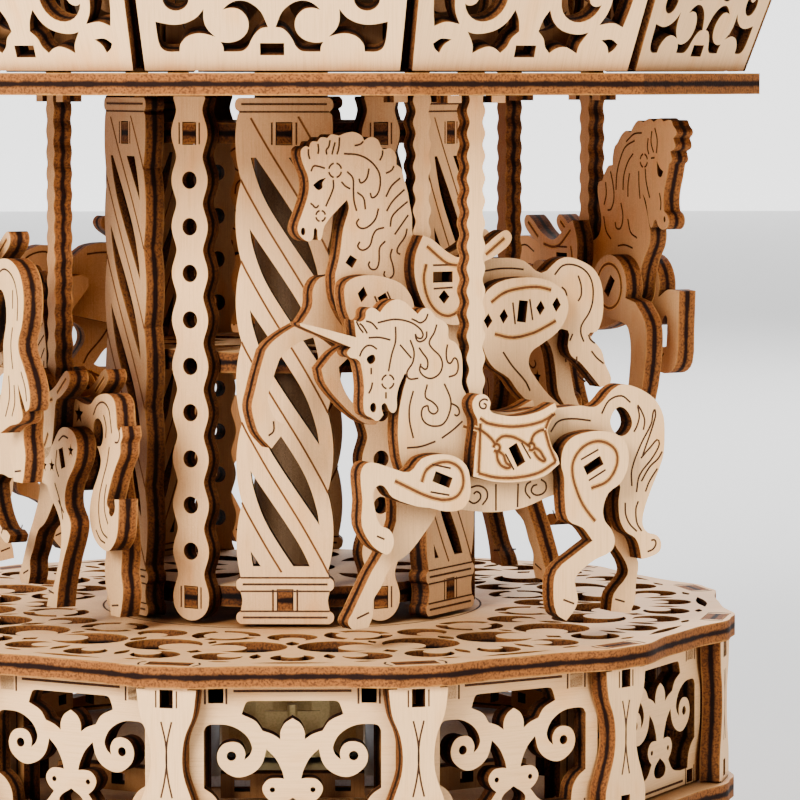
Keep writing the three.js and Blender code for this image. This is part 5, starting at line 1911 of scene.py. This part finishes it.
STAR_FAR_HIND = Cut(
    "hindleg", Layer.FAR,
    smooth([
        (-8, 28), (-9.2, 21), (-11, 16), (-11.9, 11.4), (-11.5, 9), (-11.9, 5.9), (-13, 4.1),
        (-13.4, 2.2, CUSP), (-16.4, 2.2, CUSP), (-17, 3.6), (-17.5, 6.2), (-16.9, 8.6), (-17.3, 12),
        (-16.4, 17), (-14.8, 22), (-14.4, 28, CUSP),
    ], steps=3),
    cuts=([(-13.8, 3.6), (-16, 3.9)],),
)


def disc_and_leg(leg: Loop) -> Loop:
    """A round shoulder that runs into a leg; the leg starts and ends on the round."""
    return arc(12.3, 27.2, 4.8, -20, 265, 22) + leg


PLUMED_NEAR_FORE = Cut(
    "foreleg", Layer.NEAR,
    disc_and_leg(
        smooth([
            (13.2, 21.8), (15.8, 21.2), (17.6, 21.6), (18.9, 22.9), (19.3, 21), (19.1, 18.1, CUSP),
            (17.3, 17.6), (16.8, 14.6), (19.6, 14.1), (21.9, 15.8), (22.3, 20.8), (22.6, 26.7, CUSP),
            (19.5, 26.8), (17.4, 25.8),
        ], closed=False, steps=3)
    ),
    holes=(rectangle(12.3, 27.2, 1.5, 3.2, -35),), cuts=([(17.2, 15.8), (18.4, 17)],),
    burns=(circle(12.3, 27.2, 3.4, 22) + [(15.7, 27.2)],),
)

PLUMED_FAR_FORE = Cut(
    "foreleg", Layer.FAR,
    disc_and_leg(
        smooth([
            (13, 22.2), (16, 21.8), (17.6, 21), (18.4, 17.8), (17.8, 12.3), (17.3, 9.6), (17, 7.2, CUSP),
            (20, 7.4, CUSP), (20.7, 9.8), (21.7, 12.6), (22.7, 18.1), (22.3, 22.2), (19.6, 25),
        ], closed=False, steps=3)
    ),
    holes=(rectangle(12.3, 27.2, 1.5, 3.2, -35),), burns=(circle(12.3, 27.2, 3.4, 22) + [(15.7, 27.2)],),
)

SADDLE = Cut(
    "saddle", Layer.NEAR,
    smooth([
        (1.6, 36.9, CUSP), (2.8, 34.2), (2.9, 31), (1.6, 27.4), (-0.3, 25.3), (-2.6, 24.3), (-4.4, 24.3),
        (-6, 25.4), (-7, 27.6), (-7.6, 30.4), (-8.2, 32.8), (-9.6, 33.5), (-10.9, 34.2), (-12.4, 35.3),
        (-12.9, 36.4), (-12.3, 37.3), (-11.5, 37.3), (-10, 36.4), (-8.4, 35.2), (-6.4, 34.2), (-4.2, 33.7),
        (-2.2, 34.6), (0.1, 36.3),
    ], steps=4),
    holes=(rectangle(-1.6, 31, 3.2, 1.55), diamond(-1.8, 28.2, 1.8, 2)),
    cuts=([(0, 32.7), (-3, 32.7)], [(-0.1, 29.4), (-3.2, 29.5)]),
    burns=(
        [(1.1, 32.9), (1.5, 30.8), (0.8, 28), (-0.6, 26.2), (-2.4, 25.5), (-4, 26.1), (-5.4, 28)],
        [(1, 35.4), (-1, 33.8), (-2.4, 32.9), (-4.4, 32.6), (-7, 33)], [(-8.6, 34), (-11.7, 36.3)],
    ),
)

STAR_SADDLE = Cut(
    "saddle", Layer.NEAR, SADDLE.outline, (rectangle(-1.6, 31, 3.2, 1.55), star(-1.8, 28.1, 1.1)),
    SADDLE.cuts, SADDLE.burns,
)

SETS: dict[Kind, tuple[Cut, ...]] = {
    Kind.UNICORN: (
        UNICORN_TRUNK, UNICORN_FORE, NEAR_HIND, BLANKET, FAR_FORE, FAR_HIND,
        BLANKET.on(Layer.FAR, "blanket_far"),
    ),
    Kind.DIAMOND: (
        DIAMOND_TRUNK, CHARGER_NEAR_FORE, DIAMOND_HIND, SADDLE, CHARGER_FORE, FAR_HIND,
        SADDLE.on(Layer.FAR, "saddle_far"),
    ),
    Kind.STAR: (
        STAR_TRUNK, CHARGER_NEAR_FORE, STAR_HIND, STAR_SADDLE, FAR_FORE, STAR_FAR_HIND,
        STAR_SADDLE.on(Layer.FAR, "saddle_far"),
    ),
    Kind.PLUMED: (
        PLUMED_TRUNK, PLUMED_NEAR_FORE, PLUMED_HIND, SADDLE, PLUMED_FAR_FORE, STAR_FAR_HIND,
        SADDLE.on(Layer.FAR, "saddle_far"),
    ),
}


@dataclass
class Horse:
    """One horse on its pole."""

    shop: Workshop
    kind: Kind
    node: str
    azimuth: float
    ring: float
    lift: float
    pole_foot: float = 32.4
    pole_plain: float = 4.0  # of the pole's top, without scallops
    scallop: float = 3.1  # from one scallop of the pole to the next

    def build(self) -> None:
        """Adds the horse's sheets and its pole."""
        pieces = [self._put(cut) for cut in SETS[self.kind]]
        pieces.append(self._pole())
        for piece in pieces:
            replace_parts(piece, self.node)

    def _put(self, cut: Cut) -> bpy.types.Object:
        """Adds one sheet; forward is to the left of a viewer outside.

        Args:
            cut: the sheet.

        Returns:
            The piece.
        """
        sheet = Sheet(
            mirrored(cut.outline),
            [mirrored(hole) for hole in cut.holes],
            cuts([mirrored(line) for line in cut.cuts]) + burns([mirrored(line) for line in cut.burns]),
        )
        radius = self.ring + PLY * cut.layer.value
        label = cut.name if cut.name.endswith("_far") else SIDE_WORDS[cut.layer] + cut.name
        place = standing(self.azimuth, radius, DECK_TOP + self.lift)
        return self.shop.put(f"{self.node}_{label}", sheet, place, self.node)

    def _pole(self) -> bpy.types.Object:
        """The pole: a scalloped strip from the saddle through the canopy.

        Returns:
            The piece.
        """
        high = CANOPY_TOP + 2.4 - DECK_TOP
        side: Loop = []
        z = self.pole_foot
        while z < high - self.pole_plain:
            side.append((1.25 + 0.22 * math.cos(2 * math.pi * z / self.scallop), z))
            z += 0.3875
        side += [(1.4, high - self.pole_plain), (1.4, high)]
        sheet = Sheet(side + list(reversed(mirrored(side))), thickness=2.8)
        place = standing(self.azimuth, self.ring, DECK_TOP + self.lift)
        return self.shop.put(f"{self.node}_pole", sheet, place, self.node)


def horses(shop: Workshop) -> list[Horse]:
    """The eight horses in their four pairs.

    Args:
        shop: where their pieces are made.

    Returns:
        The horses.
    """
    herd = []
    for i in range(4):
        azimuth = PAIR_AZIMUTH + 90 * i + CAGE_TURN
        outer_high = i % 2 == 1
        outer = Kind.PLUMED if outer_high else Kind.UNICORN
        inner = Kind.STAR if outer_high else Kind.DIAMOND
        outer_lift, inner_lift = (STROKE, 0) if outer_high else (0, STROKE)
        herd.append(Horse(shop, outer, f"outer_figure_{i + 1}", azimuth, OUTER_RING, outer_lift))
        herd.append(Horse(shop, inner, f"inner_figure_{i + 1}", azimuth, INNER_RING, inner_lift))
    return herd


# --- movement ---


@dataclass
class Movement:
    """The wind-up movement, the winding key and the post."""

    shop: Workshop
    key_radius: float = 16.0
    key_lobes: int = 8

    def build(self) -> None:
        """Finishes the CAD pieces of the movement and adds the key."""
        finishes = {
            "movement_bed": Finish.STEEL, "comb": Finish.STEEL, "drive_shaft": Finish.STEEL,
            "pinned_cylinder": Finish.BRASS, "governor_fly": Finish.BRASS, "spring_barrel": Finish.BRASS,
            "centre_post": Finish.BLOCK,
        }
        for node, finish in finishes.items():
            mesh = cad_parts[node].data
            mesh.materials.clear()
            mesh.materials.append(self.shop.paints[finish])
        self._key()

    def _key(self) -> None:
        """The winding key: two lobed sheets on a steel arbor."""
        turns = [2 * math.pi * k / 96 for k in range(96)]
        reach = [self.key_radius + math.cos(self.key_lobes * a) for a in turns]
        rim = [(r * math.cos(a), r * math.sin(a)) for r, a in zip(reach, turns)]
        holes = [circle(11.5 * math.cos(a), 11.5 * math.sin(a), 1.7, 20) for a in turns[::12]]
        ring = Line([(7 * math.cos(a), 7 * math.sin(a)) for a in [*turns, turns[0]]], 0.3)
        for k, z in enumerate((3.0, 6.0)):
            piece = self.shop.put(f"key_sheet_{k + 1}", Sheet(rim, holes, [ring]), lying(z), "winding_key")
            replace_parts(piece, "winding_key")
        arbor = [(0, 7.5), (2, 7.5), (2, 14), (0, 14)]
        self.shop.turn("key_arbor", arbor, Matrix.Identity(4), "winding_key", Finish.STEEL, "steel")


# --- stage ---


@dataclass(frozen=True)
class Lamp:
    """A soft square light: where it stands, its side in metres and its power in watts."""

    name: str
    place: tuple[float, float, float]
    size: float
    power: float


LAMPS = (
    Lamp("key", (-0.45, -0.85, 0.5), 0.36, 23.0),
    Lamp("fill", (0.6, -0.8, 0.2), 0.5, 4.0),
    Lamp("rim", (0.3, 0.8, 0.7), 0.6, 9.0),
)


@dataclass
class Stage:
    """Floor, lights and camera, in metres and degrees."""

    shop: Workshop
    eye: tuple[float, float, float] = (0.0, -0.5982, 0.1149)
    yaw: float = -1.556
    pitch: float = -4.596
    lens: float = 179.8
    sky: float = 0.16
    aim: tuple[float, float, float] = (0, 0, 0.09)

    def build(self) -> None:
        """Adds the floor, the lights and the camera."""
        self._plane(Finish.FLOOR, (0, 0, -0.0005), 0)
        self._plane(Finish.BACKDROP, (0, 2.9, 2.5), 90)
        world = bpy.data.worlds.new("studio")
        world.use_nodes = True
        sky = world.node_tree.nodes["Background"]
        sky.inputs["Color"].default_value = (1, 1, 1, 1)
        sky.inputs["Strength"].default_value = self.sky
        bpy.context.scene.world = world
        for lamp in LAMPS:
            self._light(lamp)
        camera = bpy.data.cameras.new("camera")
        camera.lens = self.lens
        camera.sensor_width = 36
        camera.clip_start = 0.01
        holder = bpy.data.objects.new("camera", camera)
        holder.location = self.eye
        holder.rotation_euler = (math.radians(90 + self.pitch), 0, math.radians(self.yaw))
        bpy.context.scene.collection.objects.link(holder)
        bpy.context.scene.camera = holder

    def _plane(self, finish: Finish, place: tuple[float, float, float], tip: float) -> None:
        """A pale sheet of the studio: the floor, or the glowing white sheet far behind the object.

        Args:
            finish: its finish.
            place: the sheet's middle.
            tip: degrees that it is tipped up.
        """
        work = bmesh.new()
        bmesh.ops.create_grid(work, x_segments=1, y_segments=1, size=3.0)
        mesh = bpy.data.meshes.new(finish.value)
        work.to_mesh(mesh)
        work.free()
        mesh.materials.append(self.shop.paints[finish])
        holder = bpy.data.objects.new(finish.value, mesh)
        holder.location = place
        holder.rotation_euler = (math.radians(tip), 0, 0)
        bpy.context.scene.collection.objects.link(holder)

    def _light(self, lamp: Lamp) -> None:
        """Adds a light that faces the object.

        Args:
            lamp: the light.
        """
        data = bpy.data.lights.new(lamp.name, "AREA")
        data.size = lamp.size
        data.energy = lamp.power
        holder = bpy.data.objects.new(lamp.name, data)
        holder.location = lamp.place
        towards = Vector(self.aim) - Vector(lamp.place)
        holder.rotation_euler = towards.to_track_quat("-Z", "Y").to_euler()
        bpy.context.scene.collection.objects.link(holder)


def main() -> None:
    """Builds the looks around the frame."""
    logging.basicConfig(level=logging.INFO)
    shop = Workshop()
    Stage(shop).build()
    Drum(shop).build()
    Movement(shop).build()
    Cage(shop).build()
    Canopy(shop).build()
    for horse in horses(shop):
        horse.build()
    for piece in shop.pieces:
        LOG.info("%s: %d faces", piece.name, len(piece.data.polygons))
    LOG.info("%d pieces", len(shop.pieces))


if __name__ == "__main__":
    main()
